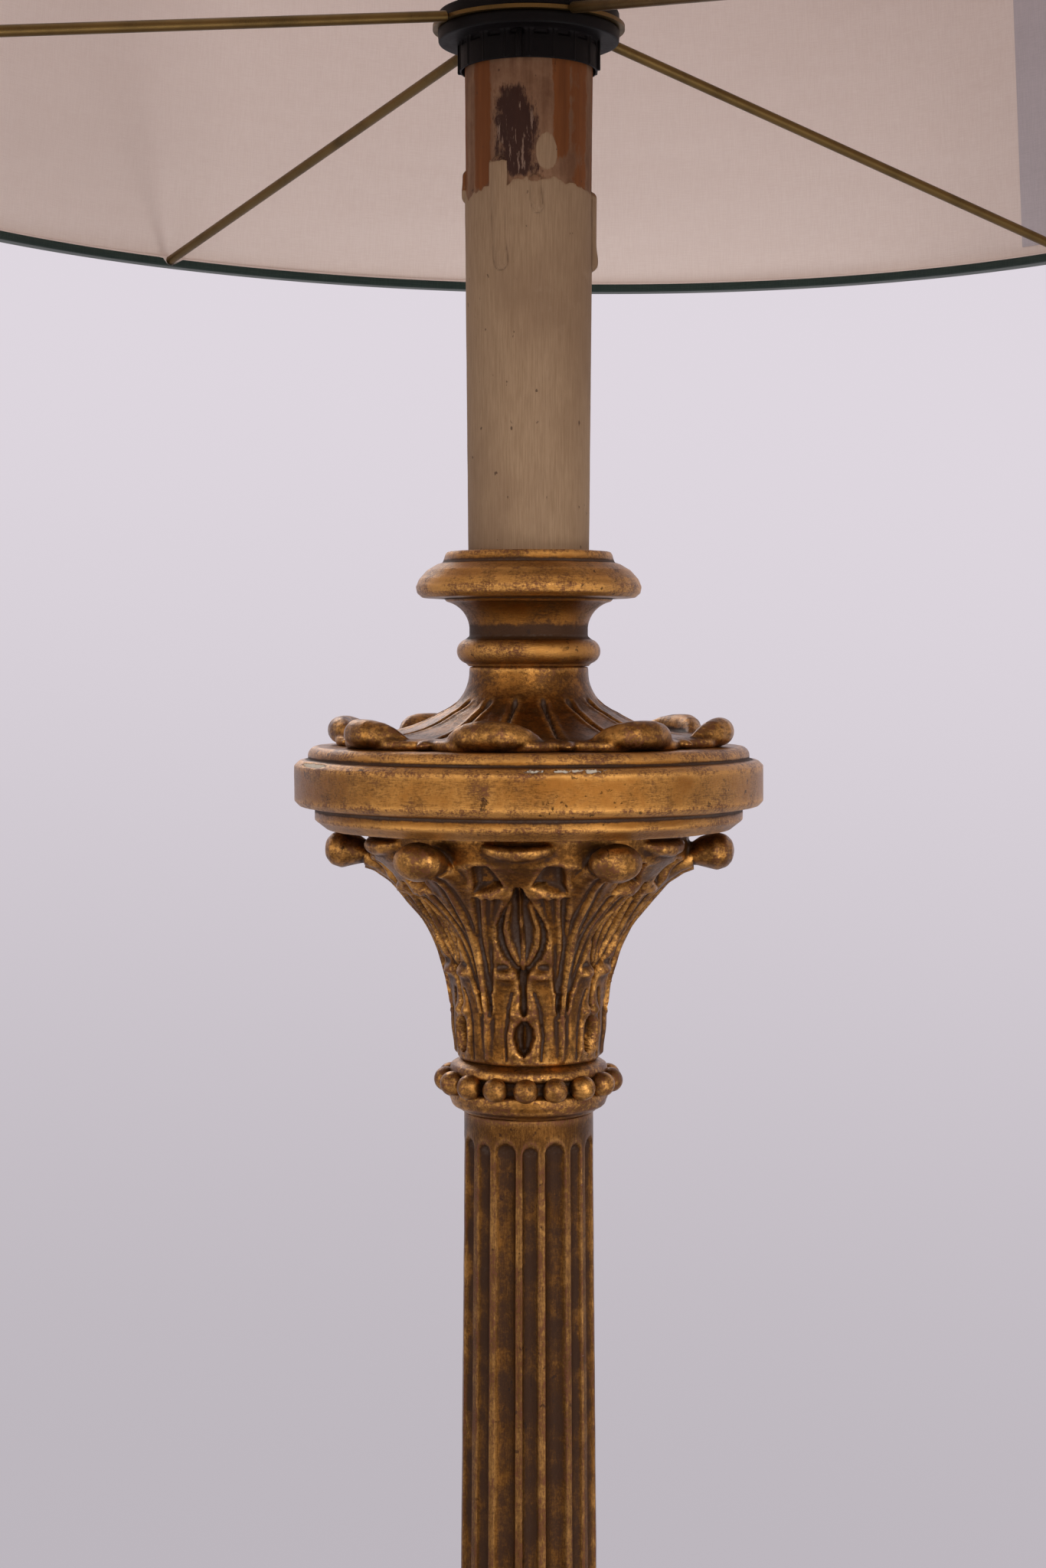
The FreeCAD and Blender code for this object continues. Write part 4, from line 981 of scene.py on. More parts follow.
def tongue_leaves(piece: bpy.types.Object, count: int, low: float, high: float, depth: float) -> None:
    """Carves a ring of upright leaves.

    Args:
        piece: the turned piece.
        count: how many leaves.
        low: the height of their foot.
        high: the height of their tips.
        depth: how far they stand out.
    """
    radius, angle, height = polar(read_points(piece))
    turn = from_axis(angle, -90, 360 / count) / (180 / count)
    up = (height - low) / (high - low)
    outline = np.interp(up, (0, 0.15, 0.45, 0.75, 0.92, 1.0), (0.80, 0.93, 0.97, 0.80, 0.42, 0.0))
    scallop = 0.05 * np.cos(up * 40)
    inside = rise(outline + scallop - np.abs(turn), 0.0, 0.10) * (up > -0.02) * (up < 1)
    aside = np.abs(turn)
    wide = radius * math.pi / count
    rib = peak(aside * wide, 1.1) * 0.55
    fan = np.cos((aside * 9 - up * 7) * 1.7) * 0.22 * rise(aside, 0.08, 0.2)
    curl = rise(up, 0.78, 0.95) * rise(outline - aside, 0, 0.2) * 0.9
    second = from_axis(angle, -90 + 180 / count, 360 / count) / (180 / count)
    behind = rise(0.5 * np.interp(up, (0.3, 0.6, 0.9, 1.08), (1, 1, 0.7, 0)) - np.abs(second), 0, 0.08)
    behind *= (up > 0.1) * (up < 1.08)
    spine = peak(second * wide, 0.9) * 0.4
    outside = (radius > BORE * 3).astype(float)
    carve(piece, outside * depth * (inside * (0.75 + rib + fan + curl)
                                    + (1 - inside) * behind * (0.25 + spine)))


def bead_ring(
    name: str, seat: float, radius: float, height: float, neck: float, beads: int, first: float, seed: int,
) -> bpy.types.Object:
    """A turned collar with its string of beads.

    Args:
        name: the piece's name.
        seat: the height of its foot.
        radius: of the circle that the beads stand on.
        height: of the collar.
        neck: the radius of what it joins.
        beads: how many.
        first: the angle of the first bead.
        seed: of the unevenness.

    Returns:
        The piece.
    """
    core, middle = radius - 1, height / 2 + 1.5
    ring = turned(name + "_ring", [
        *SOCKET, (neck, 0), (core - 2.5, 1.5, 0.7), (core - 0.5, 3.5),
        (core, 4.5), (core, middle - 3.1), (core - 2.2, middle - 1.5), (core - 2.2, middle + 1.5),
        (core, middle + 2.9), (core - 0.5, height - 2), (core - 2.5, height - 0.8), (neck, height),
        *tenon(height),
    ], seat, 220, finer_outside(core - 6, 0.6, 3.0), 0.3)
    rng = np.random.default_rng(seed)
    string = []
    for number in range(beads):
        turn = math.radians(first + 360 * number / beads + rng.normal(0, 0.25))
        string.append(bead(
            (radius * math.cos(turn), radius * math.sin(turn), seat + middle + rng.normal(0, 0.08)),
            4.0 * rng.uniform(0.97, 1.0), rng))
    weathered(ring, 0.12, seed)
    ball = weathered(joined(name + "_beads", string), 0.06, seed + 1)
    points = read_points(ball)
    radius_here, angle, height_here = polar(points)
    aside = np.radians(from_axis(angle, first, 360 / beads)) * radius_here
    away = np.hypot(aside, height_here - seat - middle)
    inward = radius - radius_here
    layer = ball.data.attributes["relief"].data
    found = numbers(layer, "value", kind=np.float32)
    sunk = rise(inward + away * 0.55, 1.2, 4.2) * 1.2 - 0.45 + found * 0.3
    layer.foreach_set("value", np.clip(sunk, -1, 1).astype(np.float32))
    return joined(name, [ring, ball])


@dataclass
class Standard:
    """The stem: flared foot, knop, vase, collar and fluted shaft."""

    trumpet_seat: float = 120.0
    knop_seat: float = 297.0
    vase_seat: float = 317.0
    collar_seat: float = 417.0
    column_seat: float = 435.0
    length: float = 660.0
    low_radius: float = 26.5
    top_radius: float = 20.5
    flute_foot: float = 40.0
    flute_head: float = 11.0

    def trumpet(self) -> bpy.types.Object:
        """The flared foot, with a ring of leaves climbing it."""
        made = turned("flared_foot", [
            *SOCKET, (90, 0, 0.52), (90, 12), (85, 12, -0.76), (27, 137), (30, 142), (30, 145, 0.52),
            (30, 157), (28, 159, -0.9), (26, 177), *tenon(177),
        ], self.trumpet_seat, 320, finer_outside(14, 1.15, 6.0), 0.35)
        tongue_leaves(made, 8, self.trumpet_seat + 15, self.trumpet_seat + 96, 1.5)
        return weathered(made, 0.2, 9)

    def vase(self) -> bpy.types.Object:
        """The baluster vase in its cup of leaves."""
        made = turned("carved_vase", [
            *SOCKET, (25, 0), (25, 6), (26, 7, 1.1), (46, 46, 1.38), (32, 82, -1.2), (28, 88), (32, 92),
            (32, 100), *tenon(100),
        ], self.vase_seat, 320, finer_outside(14, 0.8, 5.0), 0.35)
        tongue_leaves(made, 8, self.vase_seat + 8, self.vase_seat + 56, 1.3)
        return weathered(made, 0.18, 11)

    def column(self) -> bpy.types.Object:
        """The shaft, with broad and narrow flutes by turns."""
        low, top, length = self.low_radius, self.top_radius, self.length
        ends = (self.flute_foot, length - self.flute_head)

        def pace(points: np.ndarray) -> np.ndarray:
            """Close rows at the flutes' ends and the base, wide ones along the shaft."""
            near = np.minimum(np.abs(points[:, 1] - ends[0]), np.abs(points[:, 1] - ends[1]))
            rows = np.where(near < 12, 0.75, 4.2)
            rows = np.where(points[:, 1] < 30, 0.9, rows)
            return np.where(points[:, 0] < 14, 9.0, rows)

        made = turned("fluted_shaft", [
            *SOCKET, (31, 0), (31, 3, 0.53), (31, 14), (28.5, 15), (28.5, 18, -0.8), (low, 26),
            (top, length), *tenon(length),
        ], self.column_seat, 384, pace, 0.3)
        radius, angle, height = polar(read_points(made))
        up = height - self.column_seat
        share = np.clip((up - ends[0]) / (ends[1] - ends[0]), 0, 1)
        growth = (low + (top - low) * share) / top
        beyond = np.maximum(np.maximum(ends[0] - up, up - ends[1]), 0)
        cut = np.zeros(len(radius))
        for first, size, depth in ((1.5, 2.7, 1.9), (24.0, 3.75, 2.4)):
            across = np.radians(from_axis(angle, first, 45)) * radius
            size_here = size * growth
            groove = np.sqrt(np.maximum(size_here**2 - across**2 - beyond**2, 0)) - (size - depth) * growth
            cut = np.maximum(cut, np.maximum(groove, 0))
        push_out(made, -cut * (radius > 15) * (up > 24))
        return weathered(made, 0.10, 13, 0.24)

    def build(self, finishes: Finishes) -> None:
        """Makes and dresses the standard."""
        base, shaft = finishes["base_gilding"], finishes["shaft_gilding"]
        gild(self.trumpet(), base, "foot_trumpet")
        gild(bead_ring("beaded_knop", self.knop_seat, 32, 20, 27, 19, 0, 21), base, "knop_ring")
        gild(self.vase(), base, "baluster_vase")
        gild(bead_ring("beaded_collar_below", self.collar_seat, 35, 18, 31, 21, 0, 23), base,
             "lower_collar")
        gild(self.column(), shaft, "column")


# ------------------------------------------------------------------ capital, pan, spread and cup


@dataclass
class Capital:
    """The head of the standard: bead collar, leaf capital, drip pan, leaf spread and candle cup."""

    collar_seat: float = 1095.0
    bell_seat: float = 1112.0
    pan_seat: float = 1185.0
    spread_seat: float = 1211.0
    cup_seat: float = 1236.0
    leaves: int = 6
    leaf_turn: float = 56.0
    spread_leaves: int = 8
    spread_turn: float = 34.0

    def bell_relief(self, points: np.ndarray) -> np.ndarray:
        """How far the carving of the bell stands out or in, in millimetres.

        Args:
            points: the vertices.

        Returns:
            A number for each vertex, positive outwards.
        """
        radius, angle, height = polar(points)
        z = height - self.bell_seat
        half = 180 / self.leaves
        turn = from_axis(angle + grain(points, 11, 4) * 0.9, self.leaf_turn, 2 * half)
        z = z + grain(points, 8, 6) * 0.35
        aside = np.abs(turn)
        rib = np.radians(aside) * radius
        edge = np.radians(half - aside) * radius
        vein_radius = 30

        def hollow(levels: Sequence[float], widths: Sequence[float], soft: float) -> np.ndarray:
            """1 inside a shape that is centred on the line between two leaves."""
            wide = np.interp(z, levels, widths, left=-9, right=-9)
            return rise(wide - edge, -soft / 2, soft / 2)

        arch = hollow((28.5, 31, 34, 40, 45, 50, 54, 57), (0.6, 2.6, 5.6, 8.0, 7.4, 5.0, 2.4, 0.8), 1.5)
        slot = hollow((16, 18, 23, 28, 30), (0.2, 1.1, 0.8, 1.3, 1.6), 0.8)
        eye = hollow((3.0, 4.5, 9.0, 12.0, 14.5), (0.2, 1.9, 3.1, 2.7, 0.6), 1.0)
        relief = -3.0 * arch - 2.3 * slot - 4.4 * eye
        leaflet = line_distance(edge, z, ((1.6, 32), (4.4, 38), (5.2, 43), (3.4, 51)))
        relief += arch * 2.1 * peak(leaflet, 1.35)
        relief += 1.9 * peak(edge, 0.75) * rise(z, 15.5, 18) * arch
        relief += 1.0 * peak(edge, 0.7) * rise(z, 2, 5) * (1 - rise(z, 15, 17))
        relief += 1.5 * mound(edge - 2.3, z - 16.4, 2.0, 1.7)
        relief += 1.9 * mound(edge - 5.0, z - 28.9, 3.1, 1.5)
        relief -= 1.0 * mound(edge - 5.4, z - 31.6, 3.2, 1.0)
        relief += 0.7 * peak(line_distance(edge, z, ((3.9, 4), (4.6, 9), (3.9, 13))), 0.8)
        relief -= 0.9 * peak(line_distance(edge, z, ((5.6, 1), (6.0, 10), (5.0, 18), (3.4, 23))), 0.6)
        relief += 1.1 * peak(rib, 0.8) * (1 - rise(z, 50, 58) * 0.5)
        relief -= 0.6 * peak(rib - 1.9, 0.7) * rise(z, 4, 12)
        for path in (
            ((2.2, 16), (3.4, 30), (6.2, 42), (11.0, 54)),
            ((3.6, 18), (6.4, 32), (10.6, 43), (16.5, 54)),
            ((6.5, 24), (10.0, 35), (14.5, 45), (20.5, 54.5)),
        ):
            run = [(math.radians(degrees) * vein_radius, level) for degrees, level in path]
            vein = line_distance(np.radians(aside) * vein_radius, z, run)
            relief += (0.35 * peak(vein - 1.5, 0.6) - 0.95 * peak(vein, 0.75)) * (1 - arch)
        keel = np.interp(z, (50, 57, 62, 66), (0.6, 3.4, 6.6, 9.0))
        ends = rise(z + 0.22 * edge, 58.2, 59.4) * (1 - rise(z, 63, 65)) * rise(edge - keel, 0.0, 1.4)
        ends *= 1 - rise(edge, 12.5, 15)
        relief -= 3.4 * ends
        relief += 1.3 * mound(edge - 6.0, z - 55.6, 4.2, 1.5)
        fold = peak(edge - 0.6 - 0.05 * (57 - z) ** 2, 0.7)
        relief -= 1.1 * fold * rise(z, 50, 52) * (1 - rise(z, 57, 58))
        relief -= 0.8 * peak(edge, 1.2) * (1 - rise(z, 1, 3))
        relief += 0.9 * np.cos(np.radians(aside * 3)) * rise(z, 2, 12)
        inner = (radius > 19) * (radius < 52) * rise(z, 0.5, 2.0) * (1 - rise(z, 62, 66))
        return relief * inner

    def capital(self) -> bpy.types.Object:
        """The bell with six curling leaves and six petals, carved from one block."""
        parts = [turned("bell", [
            *SOCKET, (22.6, 0), (22.9, 9, -1.15), (44, 58, -0.9), (50, 64), (51, 73), *tenon(73),
        ], 0, 180, finer_outside(14, 1.0, 3.0), 0.4)]
        for number in range(self.leaves):
            turn = self.leaf_turn + 360 / self.leaves * number
            parts.append(bent_loft("leaf", [
                (31, 47, 7.0, 2.6), (36, 53.5, 8.2, 3.0), (41.5, 59, 7.6, 3.0), (47, 62.6, 6.2, 2.9),
                (51.5, 64.6, 5.6, 3.3), (55, 65.6, 7.2, 4.9), (59.3, 65.9, 8.3, 6.1),
                (62.6, 66.0, 7.0, 5.1), (64.4, 66.0, 4.2, 3.1), (65.0, 66.0, 0.6, 0.6),
            ], turn))
            between = turn + 180 / self.leaves
            parts.append(lip_loft("petal_lip", [
                (0, 52.0, 68.4, 3.2, 2.5), (5, 51.4, 68.8, 3.0, 2.3), (9, 49.8, 69.4, 2.4, 1.8),
                (12.5, 47.0, 70.2, 1.5, 1.1), (14, 45.5, 70.6, 0.4, 0.3),
            ], between))
            parts.append(bent_loft("petal_keel", [
                (31, 45, 0.8, 1.2), (34.5, 51, 1.6, 1.7), (39.5, 57, 3.6, 2.0), (44.5, 62, 6.6, 2.2),
                (49.0, 66.4, 8.8, 2.2), (51.5, 69.5, 8.0, 1.6),
            ], between))
        made = fused("carved_capital", parts, 0.62, 3)
        lifted(made, self.bell_seat)
        carve(made, self.bell_relief(read_points(made)))
        return weathered(made, 0.16, 15, 0.4)

    def pan(self) -> bpy.types.Object:
        """The drip pan, with chips along its upper edge."""
        made = turned("moulded_pan", [
            *SOCKET, (63.8, 0), (67.6, 3), (67.6, 6.5), (72.6, 7.5), (74, 9), (74, 20), (72.4, 21.5),
            (69.5, 22.1, 0.6), (66.5, 26), *tenon(26),
        ], self.pan_seat, 480, finer_outside(60, 0.5, 4.0), 0.22)
        points = read_points(made)
        radius, angle, height = polar(points)
        up = height - self.pan_seat
        corner = mound(up - 21.2, radius - 72.8, 1.0, 1.4)
        left, middle = peak(from_axis(angle, -156, 360), 7.0), peak(from_axis(angle, -79, 360), 9.5)
        rough = grain(points, 2.3, 30) * 0.5 + grain(points, 0.9, 31) * 0.4
        chip = corner * np.maximum(left * 1.25, middle) * (0.75 + rough)
        odd = corner * np.clip(grain(points, 13, 33) - 0.35, 0, 1) * (0.6 + rough)
        write_layer(made, "chip", np.clip(chip + odd, 0, 1))
        carve(made, -0.55 * rise(chip + odd, 0.35, 0.7))
        return weathered(made, 0.10, 17, 0.25)

    def spread(self) -> bpy.types.Object:
        """Eight leaves that lie on the pan and roll up at their tips."""
        pitch = 360 / self.spread_leaves
        plate = turned("plate", [
            *SOCKET, (61, 0), (61.5, 2.6), (56.5, 3.6, -1.6), (27.9, 10.5, -0.8), (18.9, 25), *tenon(25),
        ], 0, 240, finer_outside(14, 0.9, 3.0), 0.3)
        radius, angle, _ = polar(read_points(plate))
        turn = np.abs(from_axis(angle, self.spread_turn, pitch)) / (pitch / 2)
        push_out(plate, rise(radius, 44, 61) * rise(turn, 0.45, 1.0) * -5.2)
        parts = [plate]
        for number in range(self.spread_leaves):
            turn_here = self.spread_turn + pitch * number
            parts.append(lip_loft("rolled_tip", [
                (0, 60.6, 4.7, 4.6, 4.5), (4, 60.3, 4.7, 4.5, 4.4), (8, 58.9, 4.4, 4.0, 3.9),
                (11, 57.2, 3.8, 3.1, 3.1), (13.4, 55.2, 2.9, 2.0, 2.1), (15, 53.6, 2.2, 0.5, 0.6),
            ], turn_here))
            parts.append(bent_loft("fold", [
                (50, 1.6, 2.0, 1.2), (54, 1.8, 2.8, 1.6), (57.5, 1.6, 2.2, 1.4), (60, 1.3, 0.5, 0.5),
            ], turn_here + pitch / 2))
        made = fused("carved_spread", parts, 0.62, 3)
        lifted(made, self.spread_seat)
        points = read_points(made)
        radius, angle, height = polar(points)
        turn = from_axis(angle + grain(points, 14, 41) * 1.1, self.spread_turn, pitch / 2)
        across = np.radians(turn) * radius
        number = np.round((angle - self.spread_turn) / (pitch / 2))
        reach = 21.5 + (np.sin(number * 12.9) + 1) * 1.1
        width = 0.55 + 0.5 * peak(radius - reach - 1.2, 1.6)
        run = rise(radius, reach - 0.6, reach + 1.4) * (1 - rise(radius, 44, 53))
        groove = 1.15 * peak(across, width) * run
        bank = 0.3 * peak(np.abs(across) - 1.6, 0.8) * run
        outer = (radius > 17) * (height > self.spread_seat + 2.5)
        carve(made, (bank - groove) * outer)
        return weathered(made, 0.16, 19, 0.36)

    def cup(self) -> bpy.types.Object:
        """The cup that holds the candle."""
        made = turned("turned_cup", [
            *SOCKET, (18.9, 0), (19.8, 1, 0.52), (19.8, 8.6), (18.7, 9.6),
            (18.7, 10.6, -0.75), (26, 20.4), (26.6, 21.3), (33.6, 21.6), (35.2, 23), (35.6, 25),
            (34.6, 27.4), (32.1, 30.2), (28.9, 32.1), (27.2, 32.6), (26.9, 33.2), (26.3, 35.2),
            (25.7, 36), (18.95, 36), (18.95, 26), (BORE, 26),
        ], self.cup_seat, 300, finer_outside(18.7, 0.45, 2.5), 0.25)
        return weathered(made, 0.10, 25, 0.25)

    def build(self, finishes: Finishes) -> None:
        """Makes and dresses the head of the standard."""
        bright, carved = finishes["bright_gilding"], finishes["carved_gilding"]
        gild(bead_ring("beaded_collar", self.collar_seat, 26.2, 17, 21, 17, -92.5, 27), carved,
             "bead_collar")
        gild(self.capital(), carved, "leaf_capital", 80)
        gild(self.pan(), bright, "drip_pan")
        gild(self.spread(), carved, "leaf_spread", 80)
        gild(self.cup(), bright, "candle_cup")


# ------------------------------------------------------------------ the candle


@dataclass
class Candle:
    """The painted sleeve, with its coat of wax, runs and stains."""

    seat: float = 1262.0
    length: float = 161.0
    low_radius: float = 18.6
    top_radius: float = 20.0

    def sleeve(self) -> bpy.types.Object:
        """The sleeve, whose layers "wax", "rust" and "scorch" say where each finish lies."""
        made = turned("waxed_sleeve", [
            (16.9, 0), (self.low_radius, 0), (self.top_radius, self.length), (16.9, self.length),
        ], self.seat, 300, finer_outside(18, 0.55, 6.0), 0.15)
        points = read_points(made)
        radius, angle, z = polar(points)
        front = from_axis(angle, -90, 360)
        across = np.radians(front) * 19.6
        ragged = grain(points, 5, 51) * 2.2 + grain(points, 1.7, 52) * 1.1
        edge = 1383.5 + 1.5 * np.sin(np.radians(front) * 2.3 + 0.5) + ragged
        edge = np.where(np.abs(front + 28.5) < 9, 1391.0 + grain(points, 1.5, 53) * 0.7, edge)
        coat = rise(edge - z, -0.5, 0.9)
        runs = (
            (((-9.6, 1390), (-9.9, 1378), (-9.4, 1366), (-8.8, 1360)), 2.3, 0.75),
            (((1.9, 1384.5), (2.2, 1379), (2.6, 1376.5)), 1.7, 0.7),
            (((29.0, 1382), (29.6, 1372), (30.0, 1364), (30.1, 1361.5)), 2.0, 1.25),
            (((-30.0, 1389), (-30.2, 1382.5)), 1.6, 0.75),
            (((44, 1384), (44.5, 1366)), 2.4, 0.9), (((-47, 1386), (-46.5, 1352)), 2.2, 1.0),
            (((57, 1382), (57.6, 1372)), 1.8, 0.8), (((-57, 1380), (-57, 1369)), 2.0, 0.7),
        )
        raised = coat * 0.35
        for path, wide, high in runs:
            distance = line_distance(across, z, path)
            foot = peak(z - path[-1][1] - 1.2, 3.0) * 0.35
            raised = np.maximum(raised, 1.35 * high * (1 + foot) * dome(distance, wide))
        outside = rise(radius, 17.6, 18.2) * (z < self.seat + self.length - 0.4) * (z > self.seat + 0.4)
        carve(made, raised * outside)
        frayed = grain(points, 4, 54) * 1.5
        scorch = 1.15 * peak(across + 4.0 + frayed, 5.6)
        scorch *= rise(z + frayed, 1383, 1390) * (1 - rise(z + frayed, 1404, 1418))
        rust = np.maximum(rise(3.4 - np.abs(across + 16.0), -1.5, 1.5),
                          rise(2.4 - np.abs(across - 10.6), -1.8, 1.2) * rise(z, 1388, 1396))
        rust = np.maximum(rust, rise(across, 12, 15) * (1 - rise(across, 20, 24)) * 0.55)
        rust = np.maximum(rust, 0.45 * (np.abs(front) > 75))
        blob = rise(3.4 - np.hypot(across - 5.6, (z - 1393.5) * 0.62), -0.8, 0.8)
        write_layer(made, "wax", np.clip(np.maximum(coat, blob), 0, 1))
        write_layer(made, "rust", rust * rise(z, 1380, 1386))
        write_layer(made, "scorch", scorch)
        return weathered(made, 0.05, 29, 0.3)

    def build(self, finishes: Finishes) -> None:
        """Makes and dresses the candle."""
        dressed(self.sleeve(), finishes["candle_paint"], "stand", "candle_paint", "candle_sleeve")


# ------------------------------------------------------------------ rings and shade


@dataclass
class Ring:
    """A screwed shade ring: a flange and a skirt with flat panels, upright or upside down.

    Its body has the name of its node.
    """

    name: str
    node: str
    seat: float
    up: int
    flange: float = 28.4
    skirt: float = 21.6
    bore: float = 19.5
    thick: float = 3.9
    drop: float = 8.9
    panels: int = 18

    def build(self, finishes: Finishes) -> None:
        """Makes and dresses the ring."""
        foot = self.up * (self.thick + self.drop)
        flange_face = self.up * self.thick
        made = turned(self.name + "_turned", [
            (self.bore, 0), (self.flange - 0.3, 0), (self.flange, self.up * 0.4),
            (self.flange - 0.2, flange_face - self.up * 0.3), (self.flange - 0.5, flange_face),
            (self.skirt, flange_face), (self.skirt, foot), (20.75, foot), (20.6, flange_face),
            (self.bore, flange_face),
        ], self.seat, 432, finer_outside(20.9, 0.4, 1.2), 0.1)
        radius, angle, height = polar(read_points(made))
        down = (height - self.seat) * self.up - self.thick
        pitch = 360 / self.panels
        aside = np.radians(from_axis(angle, 0, pitch)) * self.skirt
        seam = peak(np.abs(aside) - math.radians(pitch / 2) * self.skirt, 0.28)
        notch = rise(2.1 - np.abs(aside), -0.15, 0.15) * rise(1.5 - down, -0.15, 0.15)
        on_skirt = (radius > self.skirt - 0.3) * (radius < self.skirt + 0.5) * (down > 0.25)
        push_out(made, (seam * 0.35 - notch * 0.7 - 0.05) * on_skirt)
        parts = [made]
        for turn in (-8, 82, 172, 262):
            choose()
            bpy.ops.mesh.primitive_cube_add(size=1)
            grip = bpy.context.active_object
            box = read_points(grip) * MM
            level = self.seat + self.up * (self.thick + self.drop / 2)
            box = box * (1.2, 1.7, self.drop) + (self.skirt + 0.25, 0, level)
            write_points(grip, spun_points(box, turn))
            with editing(grip):
                bpy.ops.mesh.bevel(offset=0.25 * MM, segments=2)
            parts.append(grip)
        whole = weathered(joined(self.name, parts), 0, 31)
        dressed(whole, finishes["black_moulding"], self.node, "black_plastic", self.node, smooth=35)


@dataclass
class Shade:
    """The drum shade: cover, lining, lap seam, wrapped rim wires and edge bindings, a little aslant."""

    rim_level: float = 1393.0
    height: float = 300.0
    low_radius: float = 250.0
    top_radius: float = 219.5
    lean: float = 1.62
    lean_turn: float = 45.0
    cover_thick: float = 0.7
    lining_thick: float = 0.5
    wire: float = 1.5
    lift: float = 1.6
    arms: tuple[float, ...] = (35.8, 124.7, 212.0, 296.6)
    seam_turn: float = 39.5

    def leaned(self, piece: bpy.types.Object) -> bpy.types.Object:
        """The piece, tilted about the middle of the bottom rim and raised to its place."""
        square = math.radians(self.lean_turn + 90)
        tilt = Matrix.Rotation(math.radians(self.lean), 3, (math.cos(square), math.sin(square), 0))
        write_points(piece, read_points(piece) @ np.array(tilt).T + (0, 0, self.rim_level))
        return piece

    def shell(self, name: str, inset: float, thick: float, wave: float) -> bpy.types.Object:
        """A conical sheet.

        Args:
            name: the piece's name.
            inset: how far its outer face lies inside the shade's outline.
            thick: of the cloth.
            wave: how far the cloth waves.

        Returns:
            The piece.
        """
        low, top = self.low_radius - inset, self.top_radius - inset
        made = turned(name, [
            (low - thick, 0), (low, 0), (top, self.height), (top - thick, self.height),
        ], 0, 360, 4.0, 0)
        points = read_points(made)
        _, angle, height = polar(points)
        held = np.clip(height / 12, 0, 1) * np.clip((self.height - height) / 12, 0, 1)
        soft = wave * held * (grain(points, 60, 61) * 0.6 + np.sin(np.radians(angle) * 23) * 0.15
                              + grain(points * (1, 1, 0.25), 22, 62) * 0.4 - 1)
        push_out(made, soft)
        unwrap_round(made, self.low_radius)
        return self.leaned(made)

    def wire_circle(self, at_top: bool) -> tuple[float, float]:
        """The radius and height of a rim wire's middle."""
        slope = (self.low_radius - self.top_radius) / self.height
        inset = self.cover_thick + self.lining_thick + 0.16 + self.wire
        if at_top:
            return self.top_radius - inset, self.height - self.lift
        return self.low_radius - inset - 2 * self.lift * slope, self.lift

    def hem(self, name: str, at_top: bool) -> bpy.types.Object:
        """The lining's hem, rolled round a rim wire."""
        radius, level = self.wire_circle(at_top)
        around = np.linspace(0, math.tau, 20, endpoint=False)
        size = self.wire + 0.17
        outline = [(radius + size * math.cos(a), level + size * math.sin(a)) for a in around]
        made = turned(name, outline, 0, 360, 0.7, 0)
        unwrap_round(made, self.low_radius)
        return self.leaned(made)

    def binding(
        self, name: str, at_top: bool, tall: float = 3.4, fold: float = 2.3,
    ) -> bpy.types.Object:
        """A folded strip over one edge, which dips where an arm reaches the wire.

        Args:
            name: the piece's name.
            at_top: whether it is the top edge.
            tall: how far the strip reaches over the outside.
            fold: how far it reaches over the inside.

        Returns:
            The piece.
        """
        slope = (self.low_radius - self.top_radius) / self.height
        level, way = (self.height, 1) if at_top else (0, -1)
        out = (self.top_radius + slope * tall if at_top else self.low_radius) + 0.06
        inner = self.wire_circle(at_top)[0] - self.wire - 0.3
        made = turned(name, [
            (inner - 0.6, level - way * fold), (inner, level - way * fold), (inner, level + way * 0.2),
            (out, level + way * 0.2), (out, level - way * tall), (out + 0.6, level - way * tall),
            (out + 0.6, level + way * 0.45), (out + 0.3, level + way * 0.75),
            (inner - 0.2, level + way * 0.75), (inner - 0.6, level + way * 0.35),
        ], 0, 720, 0.6, 0.15)
        if not at_top:
            points = read_points(made)
            radius, angle, height = polar(points)
            for arm in self.arms:
                aside = np.abs(np.radians(from_axis(angle, arm, 360)) * radius)
                dip = (1 - rise(aside, 2.4, 3.6)) * (radius < inner + 0.4)
                points[:, 2] = np.where(height > -0.4, height * (1 - dip) - 0.4 * dip, points[:, 2])
            write_points(made, points)
        unwrap_round(made, self.low_radius)
        return self.leaned(made)

    def seam(self, wide: float = 16.0, thick: float = 0.35) -> bpy.types.Object:
        """The strip inside the lining where its two ends lap.

        Args:
            wide: its width at the bottom.
            thick: its thickness.

        Returns:
            The piece.
        """
        slope = (self.low_radius - self.top_radius) / self.height
        inset = self.cover_thick + self.lining_thick + 0.4
        half = math.degrees(wide / 2 / self.low_radius)
        levels = np.linspace(6.6, self.height - 6.6, 60)
        turns = np.radians(np.linspace(self.seam_turn - half, self.seam_turn + half, 12))
        radius = self.low_radius - inset - levels * slope
        points = np.stack((
            np.outer(radius, np.cos(turns)), np.outer(radius, np.sin(turns)),
            np.repeat(levels[:, None], 12, 1)), 2).reshape(-1, 3)
        made = new_piece("lap_seam", points, [], [
            (i * 12 + j, i * 12 + j + 1, (i + 1) * 12 + j + 1, (i + 1) * 12 + j)
            for i in range(59) for j in range(11)])
        thicken = made.modifiers.new("cloth", "SOLIDIFY")
        thicken.thickness = thick * MM
        thicken.offset = -1
        outward(applied(made))
        unwrap_round(made, self.low_radius)
        return self.leaned(made)

